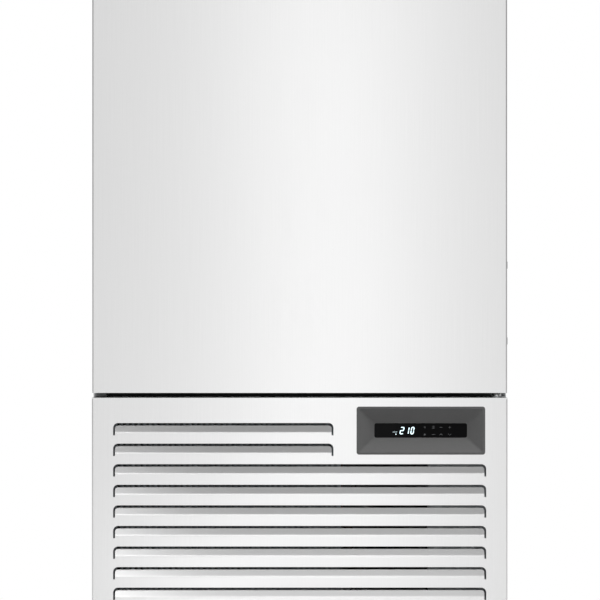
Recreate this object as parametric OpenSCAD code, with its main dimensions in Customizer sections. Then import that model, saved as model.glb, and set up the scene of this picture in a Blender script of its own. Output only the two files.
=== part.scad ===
// Upright blast chiller: a foamed stainless chamber with one tall door, standing on a machine
// compartment behind a louvred front panel. Millimetres. Seen from the front, X runs to the
// right, Y to the back and Z up. The origin is on the floor under the middle of the machine.

/* [Overall] */
// Width over the side panels
body_w = 800; // [740:5:880]
// Depth over all, from the control bezel's face to the ends of the wall spacers
body_d = 815; // [790:5:900]
// Height from the floor to the top panel
body_h = 1610; // [1400:10:1900]
// Height of the legs, floor to base
leg_h = 120; // [110:5:170]
// Height of the louvred front panel
panel_h = 436; // [430:2:520]

/* [Sheet metal and insulation] */
// Thickness of the outer sheets
sheet_t = 1.2; // [0.8:0.1:2]
// Thickness of the chamber liner's sheet
liner_t = 1; // [0.8:0.1:1.5]
// Insulated wall, outer face to liner, on every side
wall_t = 60; // [52:1:66]
// Corner radius of the chamber
cove_r = 20; // [10:1:30]
// Thickness of the base pan, posts and rail
frame_t = 2; // [1.5:0.1:3]
// Flange width of the corner posts
post_w = 32; // [26:1:40]

/* [Door] */
// Thickness of the door without its gasket
door_t = 62; // [56:1:70]
// Gap between the louvred panel and the door
door_gap = 9.4; // [9:0.2:12]
// How far the door stops below the top panel
top_reveal = 8; // [7.5:0.5:12]
// How much narrower the door is than the body, each side
door_inset = 0.7; // [0.5:0.1:2]
// Radius of the door's front edges
door_edge_r = 3; // [2:0.5:5]
// Depth of the gasket, squeezed, between door and frame
gasket_d = 12; // [11:0.5:16]
// Width of the gasket
gasket_w = 24; // [18:1:28]
// Distance from the door's edge to the gasket
gasket_inset = 22; // [20:1:26]
// Depth of the dish pressed in the door's inner panel
dish_depth = 8; // [4:1:12]
// Opening of the handle channel, front to back
grip_w = 28; // [22:1:32]
// Depth of the handle channel, side to side
grip_depth = 26; // [20:1:34]
// Width of the skin's lip in front of the handle channel
grip_lip = 16; // [12:1:18]

/* [Hinges] */
// Distance of the hinge axis from the body's side
hinge_side = 20; // [18:1:24]
// Distance of the hinge axis behind the door's front face
hinge_back = 22.5; // [20:0.5:26]
// Radius of the hinge pins
pin_r = 4; // [3:0.5:5]
// Radial clearance of a pin in its bush
pin_clear = 0.05; // [0.02:0.01:0.1]
// Thickness of the hinge plates
hinge_t = 3.5; // [2.5:0.5:4]
// Width of the hinge plates
hinge_w = 37; // [34:1:44]

/* [Louvres] */
// Height of one louvre, cut edge to bend
louvre_h = 21.5; // [15:0.5:22]
// Spacing of the louvres
louvre_pitch = 39.6; // [36:0.2:46]
// Width of the cut round each louvre
louvre_kerf = 3.5; // [2:0.1:4]
// Angle the louvre flaps lean in
louvre_lean = 25; // [16:1:36]
// Radius on which a louvre flap is bent from the sheet
louvre_bend = 12; // [6:1:14]
// Radius of a louvre's top corners
louvre_r = 9.5; // [6:0.5:12]
// Margin beside the louvres
louvre_side = 41; // [30:1:60]
// Margin above and below the louvres
louvre_end = 48.5; // [40:0.5:56]
// Gap between the short louvres and the control bezel
louvre_short_gap = 44.5; // [20:0.5:60]

/* [Control panel] */
// Width of the control bezel
bezel_w = 247.5; // [220:0.5:280]
// Height of the control bezel
bezel_h = 92.4; // [86:0.2:100]
// Margin above the bezel
bezel_top = 17; // [14:0.5:22]
// Margin beside the bezel
bezel_side = 43; // [36:1:60]
// Width of the display window
window_w = 178.6; // [150:0.2:190]
// Height of the display window
window_h = 28; // [20:0.5:40]
// Depth of the dished bezel
bezel_depth = 12; // [8:1:16]
// How far the bezel stands out of the louvred panel
bezel_proud = 1.2; // [0.6:0.1:3]

/* [Tray racks] */
// Depth of the rack uprights; at 29.5 the racks take trays 600 wide in a body 800 wide
upright_d = 29.5; // [20:0.5:40]
// Vertical spacing of the tray runners
runner_pitch = 80; // [65:1:100]
// Length of the tray runners
runner_l = 405; // [380:5:415]
// Width of a runner's ledge
runner_w = 45; // [30:1:50]
// Thickness of the rack sheet
rack_t = 1.5; // [1:0.1:2]

/* [Cooling] */
// Radius of the chamber fans
fan_r = 112; // [90:1:120]
// Depth of the evaporator's fin block
coil_d = 100; // [80:5:110]
// Radius of the condenser fan
cond_fan_r = 148; // [120:1:155]
// Margin between the condenser and the body's left side
cond_side = 40; // [30:1:60]
// Gap between the condenser and the control bezel, side to side
cond_gap = 29.5; // [20:0.5:60]
// Depth of the condenser
cond_d = 80; // [60:5:90]
// Radius of the compressor's shell
comp_r = 95; // [80:1:105]
// Radius of the refrigerant tubes
tube_r = 6; // [4:0.5:8]

/* [Hidden] */
$fn = 48;

// Cuts run this far past the faces that they open
over = 1;
// Gap between a soft or curved piece and what it faces
ease = 0.3;

// Colours, as the photograph shows them or as such parts are made
steel = "#DCDDDD";
dark_steel = "#9C9FA1";
bezel_grey = "#545456";
black = "#161718";
copper = "#B87346";
foam_yellow = "#E3D08C";
rubber = "#2A2A2B";
fin_grey = "#B9BEC2";
enamel = "#1E1F21";
nylon = "#D8D8D2";

// Cabinet
half_w = body_w / 2;
front_y = -body_d / 2 + bezel_proud;
spacer_t = 20;
back_y = body_d / 2 - spacer_t;
cab_y = front_y + door_t + gasket_d;
panel_top = leg_h + panel_h;
cab_z = panel_top - sheet_t;
roof_z = body_h - sheet_t;
inner_w = half_w - sheet_t;

// Liner, outer faces, and the chamber inside it
liner_w = half_w - wall_t;
liner_z0 = cab_z + wall_t;
liner_z1 = body_h - wall_t;
liner_y0 = cab_y + sheet_t;
liner_y1 = back_y - wall_t;
chamber_w = liner_w - liner_t;
chamber_z0 = liner_z0 + liner_t;
chamber_z1 = liner_z1 - liner_t;
chamber_y1 = liner_y1 - liner_t;
chamber_mid = (chamber_z0 + chamber_z1) / 2;

// Door
door_w = half_w - door_inset;
door_z0 = panel_top + door_gap;
door_z1 = body_h - top_reveal;
door_back = front_y + door_t;
cap_t = 3;
grip_wall = 2;
grip_y0 = front_y + grip_lip;
grip_y1 = grip_y0 + grip_w + 2 * grip_wall;
dish_inset = gasket_inset + gasket_w + 18;
dish_r = 24;

// Hinges: the pin's axis, the collar that carries the door and the bush it turns in
hinge_x = half_w - hinge_side;
hinge_y = front_y + hinge_back;
collar_r = 8.5;
bush_r = 8;
bush_l = 22;
bush_flange_r = 9;
bush_flange_t = 1;
pin_reach = 18;
hinge_gap = 1.5;
hinge_sunk = sheet_t - 0.3;
hinge_clear = 0.6;
hinge_leg = 22;
hinge_in = 8.5;
hinge_nose = 12;

// Screws
screw_r = 2.4;
screw_hole_r = screw_r + 0.2;
screw_head_r = 4.5;
screw_head_h = 2.6;
screw_l = 9;

// Louvred front panel and the deck behind its top edge
return_d = 30;
seam = 1;
flange_d = 60;
corner_cut = 4;
kerf_below = 2.3;
louvre_w = body_w - 2 * louvre_side;
louvre_rows = floor((panel_h - 2 * louvre_end - louvre_h) / louvre_pitch) + 1;
rail_back = 40;
flange_screw_x = 250;
flange_screw_y = front_y + 36;

// Control panel
bezel_x0 = half_w - bezel_side - bezel_w;
bezel_x = bezel_x0 + bezel_w / 2;
bezel_z = panel_top - bezel_top - bezel_h / 2;
bezel_r = 5;
bezel_lip = 5.5;
bezel_floor = 4;
window_edge = 2;
window_t = 2;
housing_d = 36;
housing_wall = 2.5;
cutout_w = bezel_w - 2 * bezel_lip;
cutout_h = bezel_h - 2 * bezel_lip;

// Chamber fittings, from the back wall forwards
plenum = 46;
case_gap = 76;
case_t = 2;
case_w = chamber_w - case_gap;
coil_y1 = chamber_y1 - plenum;
coil_y0 = coil_y1 - coil_d;
fan_bay = 78;
fan_panel_y = coil_y0 - fan_bay;
fan_panel_w = case_w + 38;
fan_panel_end = 16;
fan_panel_lip = 22;
fan_z_step = 215;
fan_hole_r = fan_r + 8;
guard_r = fan_hole_r + 12;
guard_wire_r = 1.6;
coil_lift = 70;
coil_z0 = chamber_z0 + coil_lift;
coil_z1 = chamber_z1 - coil_lift;
tube_pitch = 50;
bend_r = tube_pitch / 2;
bend_tube_r = 5;
// Where the two rows of coil tubes lie, as shares of a coil's depth
tube_rows = [0.28, 0.72];

// Machine compartment; its frame starts behind the rounded corners of the louvred panel
frame_y = front_y + door_edge_r;
base_top = leg_h + frame_t;
rail_z = cab_z - frame_t;
cond_end = bezel_x0 - cond_gap;
cond_w = cond_end + half_w - cond_side;
cond_x = cond_end - cond_w / 2;
cond_y0 = front_y + 32;
cond_y1 = cond_y0 + cond_d;
cond_z0 = base_top + 12;
cond_z1 = rail_z - 34;
cond_fan_z = (cond_z0 + cond_z1) / 2;
cond_hole_r = cond_fan_r + 8;
comp_x = half_w - 175;
comp_y = 20;
mount_h = 34;
comp_z = base_top + mount_h;
receiver_x = cond_end - 150;
receiver_y = comp_y + 70;
receiver_r = 50;
drain_y = chamber_y1 - 26;
drain_r = 11;
drain_wall = 1.8;

// Legs
leg_x = half_w - 75;
leg_y0 = front_y + 90;
leg_y1 = back_y - 80;
sleeve_z = 40;

// ---------- shapes used again ----------

// A w by d rectangle in plan, centred on X, whose two front corners are rounded
module front_round(w, d, r) {
    translate([-w / 2, r]) square([w, d - r]);
    translate([-w / 2 + r, 0]) square([w - 2 * r, d]);
    for (side = [-1, 1]) translate([side * (w / 2 - r), r]) circle(r);
}

// A sheet folded back along both sides, seen in plan
module folded_front(w, d, r, t) {
    difference() {
        front_round(w, d, r);
        translate([0, t]) front_round(w - 2 * t, d, max(r - t, 0.4));
    }
}

// A w by h rectangle with all four corners rounded, centred
module round_rect(w, h, r) {
    square([w - 2 * r, h], center = true);
    square([w, h - 2 * r], center = true);
    for (x = [-1, 1], y = [-1, 1]) translate([x * (w / 2 - r), y * (h / 2 - r)]) circle(r);
}

// Stands a flat outline up in the XZ plane and thickens it backwards from y
module upright(y, t) {
    translate([0, y + t, 0]) rotate([90, 0, 0]) linear_extrude(t) children();
}

// A block given by its lowest and highest corners
module block(low, high) {
    translate(low) cube(high - low);
}

// Turns a shape made along Z to run along Y or X
module along_y() { rotate([-90, 0, 0]) children(); }
module along_x() { rotate([0, 90, 0]) children(); }

// A button-head screw whose head lies on z = 0, shank down
module screw() {
    cylinder(r = screw_head_r, h = screw_head_h);
    translate([0, 0, -screw_l]) cylinder(r = screw_r, h = screw_l);
}

module screw_hole() {
    translate([0, 0, -screw_l - over]) cylinder(r = screw_hole_r, h = screw_l + 2 * over);
}

function unit(v) = v / norm(v);

// Points round the corner b of the path a, b, c, bent to radius r
function corner(a, b, c, r, steps = 5) =
    let (
        along = unit(b - a),
        away = unit(c - b),
        turn = acos(max(-1, min(1, along * away))),
        inward = unit(away - along * cos(turn)),
        start = b - along * r * tan(turn / 2)
    )
    [for (i = [0:steps])
        let (a = turn * i / steps)
        start + along * r * sin(a) + inward * r * (1 - cos(a))];

// The path through the given points with its corners bent
function bent(points, r) = [
    points[0],
    for (i = [1:len(points) - 2]) each corner(points[i - 1], points[i], points[i + 1], r),
    points[len(points) - 1]
];

function direction(p, i) = unit(p[min(i + 1, len(p) - 1)] - p[max(i - 1, 0)]);
function carried(n, along) = unit(n - along * (n * along));
function normals(p, n, i = 0) =
    let (here = carried(n, direction(p, i)))
    i == len(p) - 1 ? [here] : concat([here], normals(p, here, i + 1));

// A tube bent along points, as one closed mesh
module tube(points, r, bend, sides = 10) {
    path = bent(points, bend);
    first = direction(path, 0);
    side = abs(first.z) > 0.9 ? [1, 0, 0] : [0, 0, 1];
    n = normals(path, side);
    last = len(path) - 1;
    rings = [for (i = [0:last])
        let (b = cross(direction(path, i), n[i]))
        for (k = [0:sides - 1])
            path[i] + r * (cos(k * 360 / sides) * n[i] + sin(k * 360 / sides) * b)];
    faces = concat(
        [for (i = [0:last - 1], k = [0:sides - 1])
            let (j = (k + 1) % sides)
            each [[i * sides + k, (i + 1) * sides + k, i * sides + j],
                  [(i + 1) * sides + k, (i + 1) * sides + j, i * sides + j]]],
        [[for (k = [0:sides - 1]) k]],
        [[for (k = [sides - 1:-1:0]) last * sides + k]]
    );
    polyhedron(points = rings, faces = faces);
}

// ---------- cabinet shell ----------

// Side sheet, wider below the door where it meets the louvred panel's return
module side_panel(side) {
    step_y = front_y + return_d + seam;
    outline = [[step_y, leg_h], [back_y, leg_h], [back_y, roof_z], [cab_y, roof_z],
               [cab_y, panel_top], [step_y, panel_top]];
    x = side > 0 ? inner_w : -half_w;
    color(steel) translate([x, 0, 0]) rotate([90, 0, 90]) linear_extrude(sheet_t) polygon(outline);
}

module top_panel() {
    color(steel) block([-half_w, cab_y, roof_z], [half_w, back_y, body_h]);
}

module back_panel() {
    color(steel) block([-inner_w, back_y - sheet_t, cab_z], [inner_w, back_y, roof_z]);
}

// Sheet under the insulated chamber, with holes for the drain and the two tubes
module floor_pan() {
    color(dark_steel) difference() {
        block([-inner_w, cab_y + sheet_t, cab_z], [inner_w, back_y - sheet_t, cab_z + sheet_t]);
        floor_holes(cab_z, cab_z + sheet_t);
    }
}

module floor_holes(z0, z1) {
    translate([0, drain_y, z0 - over]) cylinder(r = drain_r + ease, h = z1 - z0 + 2 * over);
    for (at = [liquid_riser, suction_riser])
        translate([at.x, at.y, z0 - over]) cylinder(r = tube_r + ease, h = z1 - z0 + 2 * over);
}

// Ring round the chamber's mouth that the door gasket closes on
module front_frame() {
    color(steel) difference() {
        block([-inner_w, cab_y, cab_z], [inner_w, cab_y + sheet_t, roof_z]);
        translate([0, 0, (liner_z0 + liner_z1) / 2]) upright(cab_y - over, sheet_t + 2 * over)
            round_rect(2 * chamber_w, chamber_z1 - chamber_z0, cove_r);
        hinge_screw_holes();
    }
}

// Black foam strip below the mouth, seen in the gap under the door, with a thicker moulded end at
// the handle side
module sill_seal() {
    strip_t = 4;
    strip_h = 16;
    end_w = 24;
    end_t = 9;
    x0 = -inner_w + 1;
    z0 = panel_top + ease;
    color(black) {
        block([x0, cab_y - strip_t, z0], [hinge_x - hinge_in - ease, cab_y, z0 + strip_h]);
        block([x0, cab_y - end_t, z0], [x0 + end_w, cab_y, z0 + strip_h]);
    }
}

// Polyurethane foam between the outer sheets and the liner
module foam_insulation() {
    color(foam_yellow) difference() {
        block([-inner_w, cab_y + sheet_t, cab_z + sheet_t], [inner_w, back_y - sheet_t, roof_z]);
        translate([0, 0, (liner_z0 + liner_z1) / 2])
            upright(cab_y, liner_y1 + ease - cab_y)
                round_rect(2 * (liner_w + ease), liner_z1 - liner_z0 + 2 * ease, cove_r);
        floor_holes(cab_z, liner_z0);
        hinge_screw_holes();
    }
}

// Chamber: four walls with rounded corners and a flat back
module inner_liner() {
    color(steel) difference() {
        translate([0, 0, (liner_z0 + liner_z1) / 2]) difference() {
            upright(liner_y0, liner_y1 - liner_y0)
                round_rect(2 * liner_w, liner_z1 - liner_z0, cove_r);
            upright(liner_y0 - over, chamber_y1 - liner_y0 + over)
                round_rect(2 * chamber_w, chamber_z1 - chamber_z0, cove_r - liner_t);
        }
        floor_holes(liner_z0 - over, chamber_z0);
    }
}

// ---------- chamber fittings ----------

runner_y0 = liner_y0 + 8;
runner_x = chamber_w - upright_d;
upright_w = 26;
upright_inset = 30;
rack_end = 24;
upright_z0 = chamber_z0 + rack_end;
upright_z1 = chamber_z1 - rack_end;
runner_lift = 44;
runner_z0 = upright_z0 + runner_lift;
runner_levels = floor((upright_z1 - upright_z0 - 2 * runner_lift) / runner_pitch) + 1;
runner_lip = 16;

// Four upright channels on the chamber's walls that the runners hang on, two to a side
module rack_uprights() {
    ends = [runner_y0 + upright_inset, runner_y0 + runner_l - upright_inset - upright_w];
    color(steel) for (side = [-1, 1], y = ends) mirror([side > 0 ? 0 : 1, 0, 0]) difference() {
        block([runner_x, y, upright_z0], [chamber_w, y + upright_w, upright_z1]);
        block([runner_x + rack_t, y + rack_t, upright_z0 - over],
              [chamber_w + over, y + upright_w - rack_t, upright_z1 + over]);
    }
}

// Ledges for the trays, each folded up against its uprights
module tray_runners() {
    y1 = runner_y0 + runner_l;
    color(steel) for (level = [0:runner_levels - 1], side = [-1, 1]) {
        z = runner_z0 + level * runner_pitch;
        mirror([side > 0 ? 0 : 1, 0, 0]) {
            block([runner_x - runner_w, runner_y0, z], [runner_x, y1, z + rack_t]);
            block([runner_x - rack_t, runner_y0, z], [runner_x, y1, z + runner_lip]);
        }
    }
}

fan_panel_z0 = chamber_z0 + fan_panel_end;
fan_panel_z1 = chamber_z1 - fan_panel_end;
fan_z = [chamber_mid - fan_z_step, chamber_mid + fan_z_step];
fan_screw_x = case_w - 8;

// Sheet in front of the evaporator with two round fan openings
module fan_panel() {
    ring_w = 6;
    ring_d = 18;
    color(steel) difference() {
        union() {
            block([-fan_panel_w, fan_panel_y, fan_panel_z0],
                  [fan_panel_w, fan_panel_y + sheet_t, fan_panel_z1]);
            for (side = [-1, 1])
                block([side > 0 ? fan_panel_w - sheet_t : -fan_panel_w, fan_panel_y, fan_panel_z0],
                      [side > 0 ? fan_panel_w : -fan_panel_w + sheet_t,
                       fan_panel_y + fan_panel_lip, fan_panel_z1]);
            for (z = fan_z) translate([0, fan_panel_y, z]) along_y()
                cylinder(r = fan_hole_r + ring_w, h = ring_d);
        }
        for (z = fan_z) translate([0, fan_panel_y - over, z]) along_y()
            cylinder(r = fan_hole_r, h = ring_d + 2 * over);
        fan_panel_screws() screw_hole();
    }
}

// Places of the screws that hold the fan panel to the evaporator's end plates
module fan_panel_screws() {
    for (side = [-1, 1], z = [fan_panel_z0 + 40, chamber_mid, fan_panel_z1 - 40])
        translate([side * fan_screw_x, fan_panel_y, z]) rotate([90, 0, 0]) children();
}

// Wire guards: rings welded on a cross
module chamber_fan_guards() {
    rings = [30, 58, 86, guard_r - 18, guard_r];
    wire_y = fan_panel_y - guard_wire_r;
    color(steel) for (z = fan_z) translate([0, wire_y, z]) along_y() union() {
        for (r = rings) translate([0, 0, r == guard_r ? 0 : -2]) rotate_extrude()
            translate([r, 0]) circle(guard_wire_r, $fn = 24);
        for (a = [45, 135]) rotate(a) translate([-guard_r, 0, -0.6]) along_x()
            cylinder(r = guard_wire_r, h = 2 * guard_r, $fn = 24);
    }
}

motor_r = 36;
motor_l = 44;
motor_gap = 6;
shaft_r = 4;
shaft_clear = 0.05;
hub_r = 26;
hub_face = 5;
blade_d = 22;
chamber_blade_y = fan_panel_y + 2;
chamber_motor_y = chamber_blade_y + blade_d + motor_gap;
cond_shroud_t = 2;
cond_blade_y = cond_y1 + cond_shroud_t + 6;
cond_blade_d = 30;
cond_motor_y = cond_blade_y + cond_blade_d + motor_gap;

// A fan motor facing forwards, its shaft reaching into a hub of the given depth, on four arms
// that come back from the sheet at plate_y
module fan_motor(hub_d, plate_y, reach, arm_r) {
    shaft_l = motor_gap + hub_d - hub_face - ease;
    along_y() cylinder(r = motor_r, h = motor_l);
    translate([0, -shaft_l, 0]) along_y() cylinder(r = shaft_r, h = shaft_l + over);
    for (a = [45, 135, 225, 315]) rotate([0, a, 0]) {
        translate([motor_r - 2, motor_l / 2, 0]) along_x() cylinder(r = arm_r, h = reach - motor_r + 2);
        translate([reach, plate_y, 0]) along_y()
            cylinder(r = arm_r + 1, h = motor_l / 2 + 2 * arm_r - plate_y);
    }
}

module fan_motors() {
    chamber_arm_r = 3;
    cond_arm_r = 4;
    color(dark_steel) {
        for (z = fan_z) translate([0, chamber_motor_y, z])
            fan_motor(blade_d, fan_panel_y + sheet_t - chamber_motor_y, fan_hole_r + 12, chamber_arm_r);
        translate([cond_x, cond_motor_y, cond_fan_z])
            fan_motor(cond_blade_d, cond_y1 + cond_shroud_t - cond_motor_y, cond_hole_r + 10, cond_arm_r);
    }
}

// An axial fan on its hub, its leaning blades wider at the tip; bored for the motor shaft
module fan(r, depth, blades) {
    lean = 28;
    blade_t = 2.4;
    root = 0.3 * r;
    tip = 0.72 * r;
    along_y() difference() {
        union() {
            cylinder(r = hub_r, h = depth);
            for (i = [0:blades - 1]) rotate(i * 360 / blades) intersection() {
                cylinder(r = r, h = depth);
                translate([0, 0, depth / 2]) rotate([lean, 0, 0])
                    translate([0, 0, -blade_t / 2]) linear_extrude(blade_t)
                        polygon([[hub_r - 4, -root / 2], [r + over, -tip / 2],
                                 [r + over, tip / 2], [hub_r - 4, root / 2]]);
            }
        }
        translate([0, 0, hub_face]) cylinder(r = shaft_r + shaft_clear, h = depth);
    }
}

module chamber_fan(which) {
    color(black) translate([0, chamber_blade_y, fan_z[which]]) fan(fan_r, blade_d, 5);
}

module condenser_fan() {
    color(black) translate([cond_x, cond_blade_y, cond_fan_z]) fan(cond_fan_r, cond_blade_d, 5);
}

// Fin block: a slab scored front and back, so that it stays one piece
module fins(low, high, pitch, web) {
    size = high - low;
    count = floor((size.x - web) / pitch);
    gap = pitch * 0.55;
    depth = (size.y - web) / 2;
    start = low.x + (size.x - count * pitch + pitch - gap) / 2;
    difference() {
        block(low, high);
        for (i = [0:count - 1]) {
            x = start + i * pitch;
            block([x, low.y - over, low.z - over], [x + gap, low.y + depth, high.z + over]);
            block([x, high.y - depth, low.z - over], [x + gap, high.y + over, high.z + over]);
        }
    }
}

module evaporator_fins() {
    color(fin_grey) fins([-case_w, coil_y0, coil_z0], [case_w, coil_y1, coil_z1], 13, 6);
}

// Plates that carry the coil, with the fan panel screwed to their front edge and slots for air
// behind the coil
module evaporator_end_plates() {
    slots = 3;
    slot_h = (coil_z1 - coil_z0) / slots - 40;
    front = fan_panel_y + sheet_t;
    lip = 18;
    color(dark_steel) for (side = [-1, 1]) mirror([side > 0 ? 0 : 1, 0, 0]) difference() {
        union() {
            block([case_w, front, fan_panel_z0], [case_w + case_t, chamber_y1, fan_panel_z1]);
            block([case_w - lip, front, fan_panel_z0], [case_w + case_t, front + case_t, fan_panel_z1]);
        }
        for (i = [0:slots - 1])
            block([case_w - over, coil_y1 + 8, coil_z0 + 20 + i * (slot_h + 40)],
                  [case_w + case_t + over, chamber_y1 - 8, coil_z0 + 20 + i * (slot_h + 40) + slot_h]);
        fan_panel_screws() screw_hole();
    }
}

// Hairpin ends of the coil tubes, brazed on outside a coil's ends
module hairpins(x, y, z0, z1, side) {
    count = floor((z1 - z0 - tube_pitch) / (2 * tube_pitch)) + 1;
    for (i = [0:count - 1])
        translate([x, y, z0 + tube_pitch / 2 + bend_r + i * 2 * tube_pitch])
            rotate([90, side > 0 ? 90 : -90, 0]) rotate_extrude(angle = 180)
                translate([bend_r, 0]) circle(bend_tube_r, $fn = 20);
}

module coil_bends() {
    ends = case_w + case_t;
    color(copper) {
        for (side = [-1, 1], row = tube_rows)
            hairpins(side * ends, coil_y0 + coil_d * row, coil_z0, coil_z1, side);
        for (row = tube_rows)
            hairpins(cond_end, cond_y0 + cond_d * row, cond_z0, cond_z1, 1);
    }
}

// Pan under the coil that leads the melt water to the drain: a floor with its spout, and four
// sides set round it with a hair of sealant between
module drip_pan() {
    lift = 14;
    deep = 26;
    past_coil = 14;
    spout_l = 18;
    hair = 0.05;
    z0 = chamber_z0 + lift;
    z1 = z0 + deep;
    low = [-case_w + ease, coil_y0 - past_coil, z0];
    high = [case_w - ease, chamber_y1 - 2, z0 + sheet_t];
    edge = [sheet_t + hair, sheet_t + hair, 0];
    color(steel) {
        difference() {
            union() {
                block(low + edge, high - edge);
                translate([0, drain_y, z0 - spout_l])
                    cylinder(r = drain_r - drain_wall - ease, h = spout_l + sheet_t);
            }
            translate([0, drain_y, z0 - spout_l - over])
                cylinder(r = drain_r - drain_wall - ease - sheet_t, h = spout_l + sheet_t + 2 * over);
        }
        for (y = [low.y, high.y - sheet_t]) block([low.x, y, z0], [high.x, y + sheet_t, z1]);
        for (x = [low.x, high.x - sheet_t])
            block([x, low.y + edge.y, z0], [x + sheet_t, high.y - edge.y, z1]);
    }
}

// Straight plastic pipe from the chamber floor to the evaporation tray
module drain_pipe() {
    z0 = base_top + 30;
    flange_t = 2;
    color(nylon) translate([0, drain_y, 0]) difference() {
        union() {
            translate([0, 0, z0]) cylinder(r = drain_r, h = chamber_z0 - z0 + flange_t / 2);
            translate([0, 0, chamber_z0]) cylinder(r = drain_r + 6, h = flange_t);
        }
        translate([0, 0, z0 - over])
            cylinder(r = drain_r - drain_wall, h = chamber_z0 + flange_t - z0 + 2 * over);
    }
}

// ---------- machine compartment ----------

// Tray on the base that takes the melt water from the drain pipe
module evaporation_tray() {
    w = 300;
    d = 130;
    h = 46;
    y1 = back_y - sheet_t - 40;
    low = [-w / 2, y1 - d, base_top];
    high = [w / 2, y1, base_top + h];
    edge = [sheet_t, sheet_t, 0];
    color(steel) difference() {
        block(low, high);
        block(low + edge + [0, 0, sheet_t], high - edge + [0, 0, over]);
    }
}

// Base sheet with its front edge turned up inside the louvred panel
module base_pan() {
    turn_up = 34;
    y1 = back_y - sheet_t;
    color(dark_steel) {
        block([-inner_w, frame_y, leg_h], [inner_w, y1, base_top]);
        block([-inner_w + post_w + over, frame_y, base_top - over],
              [inner_w - post_w - over, frame_y + frame_t, base_top + turn_up]);
    }
}

// Angle posts that carry the chamber on the base
module corner_posts() {
    color(dark_steel) difference() {
        for (side = [-1, 1]) mirror([side > 0 ? 0 : 1, 0, 0]) {
            corner_post(frame_y, 1, rail_z);
            corner_post(back_y - sheet_t, -1, cab_z);
        }
        rear_screw_places() screw_hole();
    }
}

module corner_post(y, way, top) {
    y_far = y + way * post_w;
    y_web = y + way * frame_t;
    block([inner_w - frame_t, min(y, y_far), base_top], [inner_w, max(y, y_far), top]);
    block([inner_w - post_w, min(y, y_web), base_top], [inner_w, max(y, y_web), top]);
}

// Deck behind the top edge of the louvred panel, under the front of the chamber
module front_rail() {
    y1 = cab_y + rail_back;
    lip = 24;
    color(dark_steel) difference() {
        union() {
            block([-inner_w, frame_y, rail_z], [inner_w, y1, cab_z]);
            block([-inner_w, y1 - frame_t, rail_z - lip], [inner_w, y1, rail_z + over]);
        }
        panel_screw_places() screw_hole();
    }
}

module panel_screw_places() {
    for (x = [-flange_screw_x, 0, flange_screw_x])
        translate([x, flange_screw_y, panel_top]) children();
}

// One louvre's opening: rounded top corners, square at the bend, cut past the bend at both ends
module louvre_opening(w) {
    h = louvre_h;
    r = louvre_r;
    square([w, h - r]);
    translate([r, 0]) square([w - 2 * r, h]);
    for (x = [r, w - r]) translate([x, h - r]) circle(r);
    for (x = [0, w - louvre_kerf]) translate([x, -kerf_below]) square([louvre_kerf, kerf_below + over]);
}

// The flap left in the opening, bent inwards on a radius and straight from there, a hair clear of
// the cuts beside its bend
module louvre_flap(w) {
    x0 = louvre_kerf + 0.1;
    x1 = w - x0;
    r = louvre_r - louvre_kerf;
    inside = louvre_bend - sheet_t;
    straight = louvre_h - louvre_kerf - louvre_bend * louvre_lean * PI / 180;
    turn = [0:louvre_lean / 4:louvre_lean + 0.01];
    face = [for (a = turn) louvre_bend * [1 - cos(a), sin(a)]];
    back = [for (a = turn) [louvre_bend - inside * cos(a), inside * sin(a)]];
    tip = straight * [sin(louvre_lean), cos(louvre_lean)];
    top = (face[4] + tip).y;
    intersection() {
        translate([x0, 0, 0]) rotate([90, 0, 90]) linear_extrude(x1 - x0)
            polygon(concat([[sheet_t, -over], [0, -over]], face, [face[4] + tip, back[4] + tip],
                           [for (i = [4:-1:0]) back[i]]));
        upright(-over, louvre_h) {
            translate([x0, -over]) square([x1 - x0, top - r + over]);
            translate([x0 + r, 0]) square([x1 - x0 - 2 * r, top]);
            for (x = [x0 + r, x1 - r]) translate([x, top - r]) circle(r);
        }
    }
}

function louvre_z(row) = panel_top - louvre_end - louvre_h - row * louvre_pitch;
function beside_bezel(row) = louvre_z(row) + louvre_h > bezel_z - bezel_h / 2 - 6;
function louvre_length(row) = beside_bezel(row)
    ? bezel_x0 - louvre_short_gap + half_w - louvre_side : louvre_w;

// Front sheet: louvre flaps pushed in, edges folded back, cut out for the control bezel
module louvred_panel() {
    x0 = -half_w + louvre_side;
    color(steel) {
        difference() {
            union() {
                translate([0, front_y, leg_h]) linear_extrude(panel_h)
                    folded_front(body_w, return_d, door_edge_r, sheet_t);
                block([-inner_w, front_y + sheet_t - over, panel_top - sheet_t],
                      [inner_w, front_y + flange_d, panel_top]);
            }
            for (row = [0:louvre_rows - 1]) translate([x0, 0, louvre_z(row)])
                upright(front_y - over, sheet_t + 2 * over) louvre_opening(louvre_length(row));
            translate([bezel_x, 0, bezel_z]) upright(front_y - over, sheet_t + 2 * over)
                round_rect(cutout_w, cutout_h, bezel_r - 2);
            for (side = [-1, 1]) translate([side * half_w, front_y - over, panel_top]) along_y()
                rotate(45) translate([-corner_cut / sqrt(2), -corner_cut / sqrt(2), 0])
                    cube([corner_cut * sqrt(2), corner_cut * sqrt(2), sheet_t + over]);
            panel_screw_places() screw_hole();
            translate([0, 0, panel_top - sheet_t - over]) linear_extrude(sheet_t + 2 * over)
                hinge_plate(hinge_clear);
        }
        for (row = [0:louvre_rows - 1]) translate([x0, front_y, louvre_z(row)])
            louvre_flap(louvre_length(row));
    }
}

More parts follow.
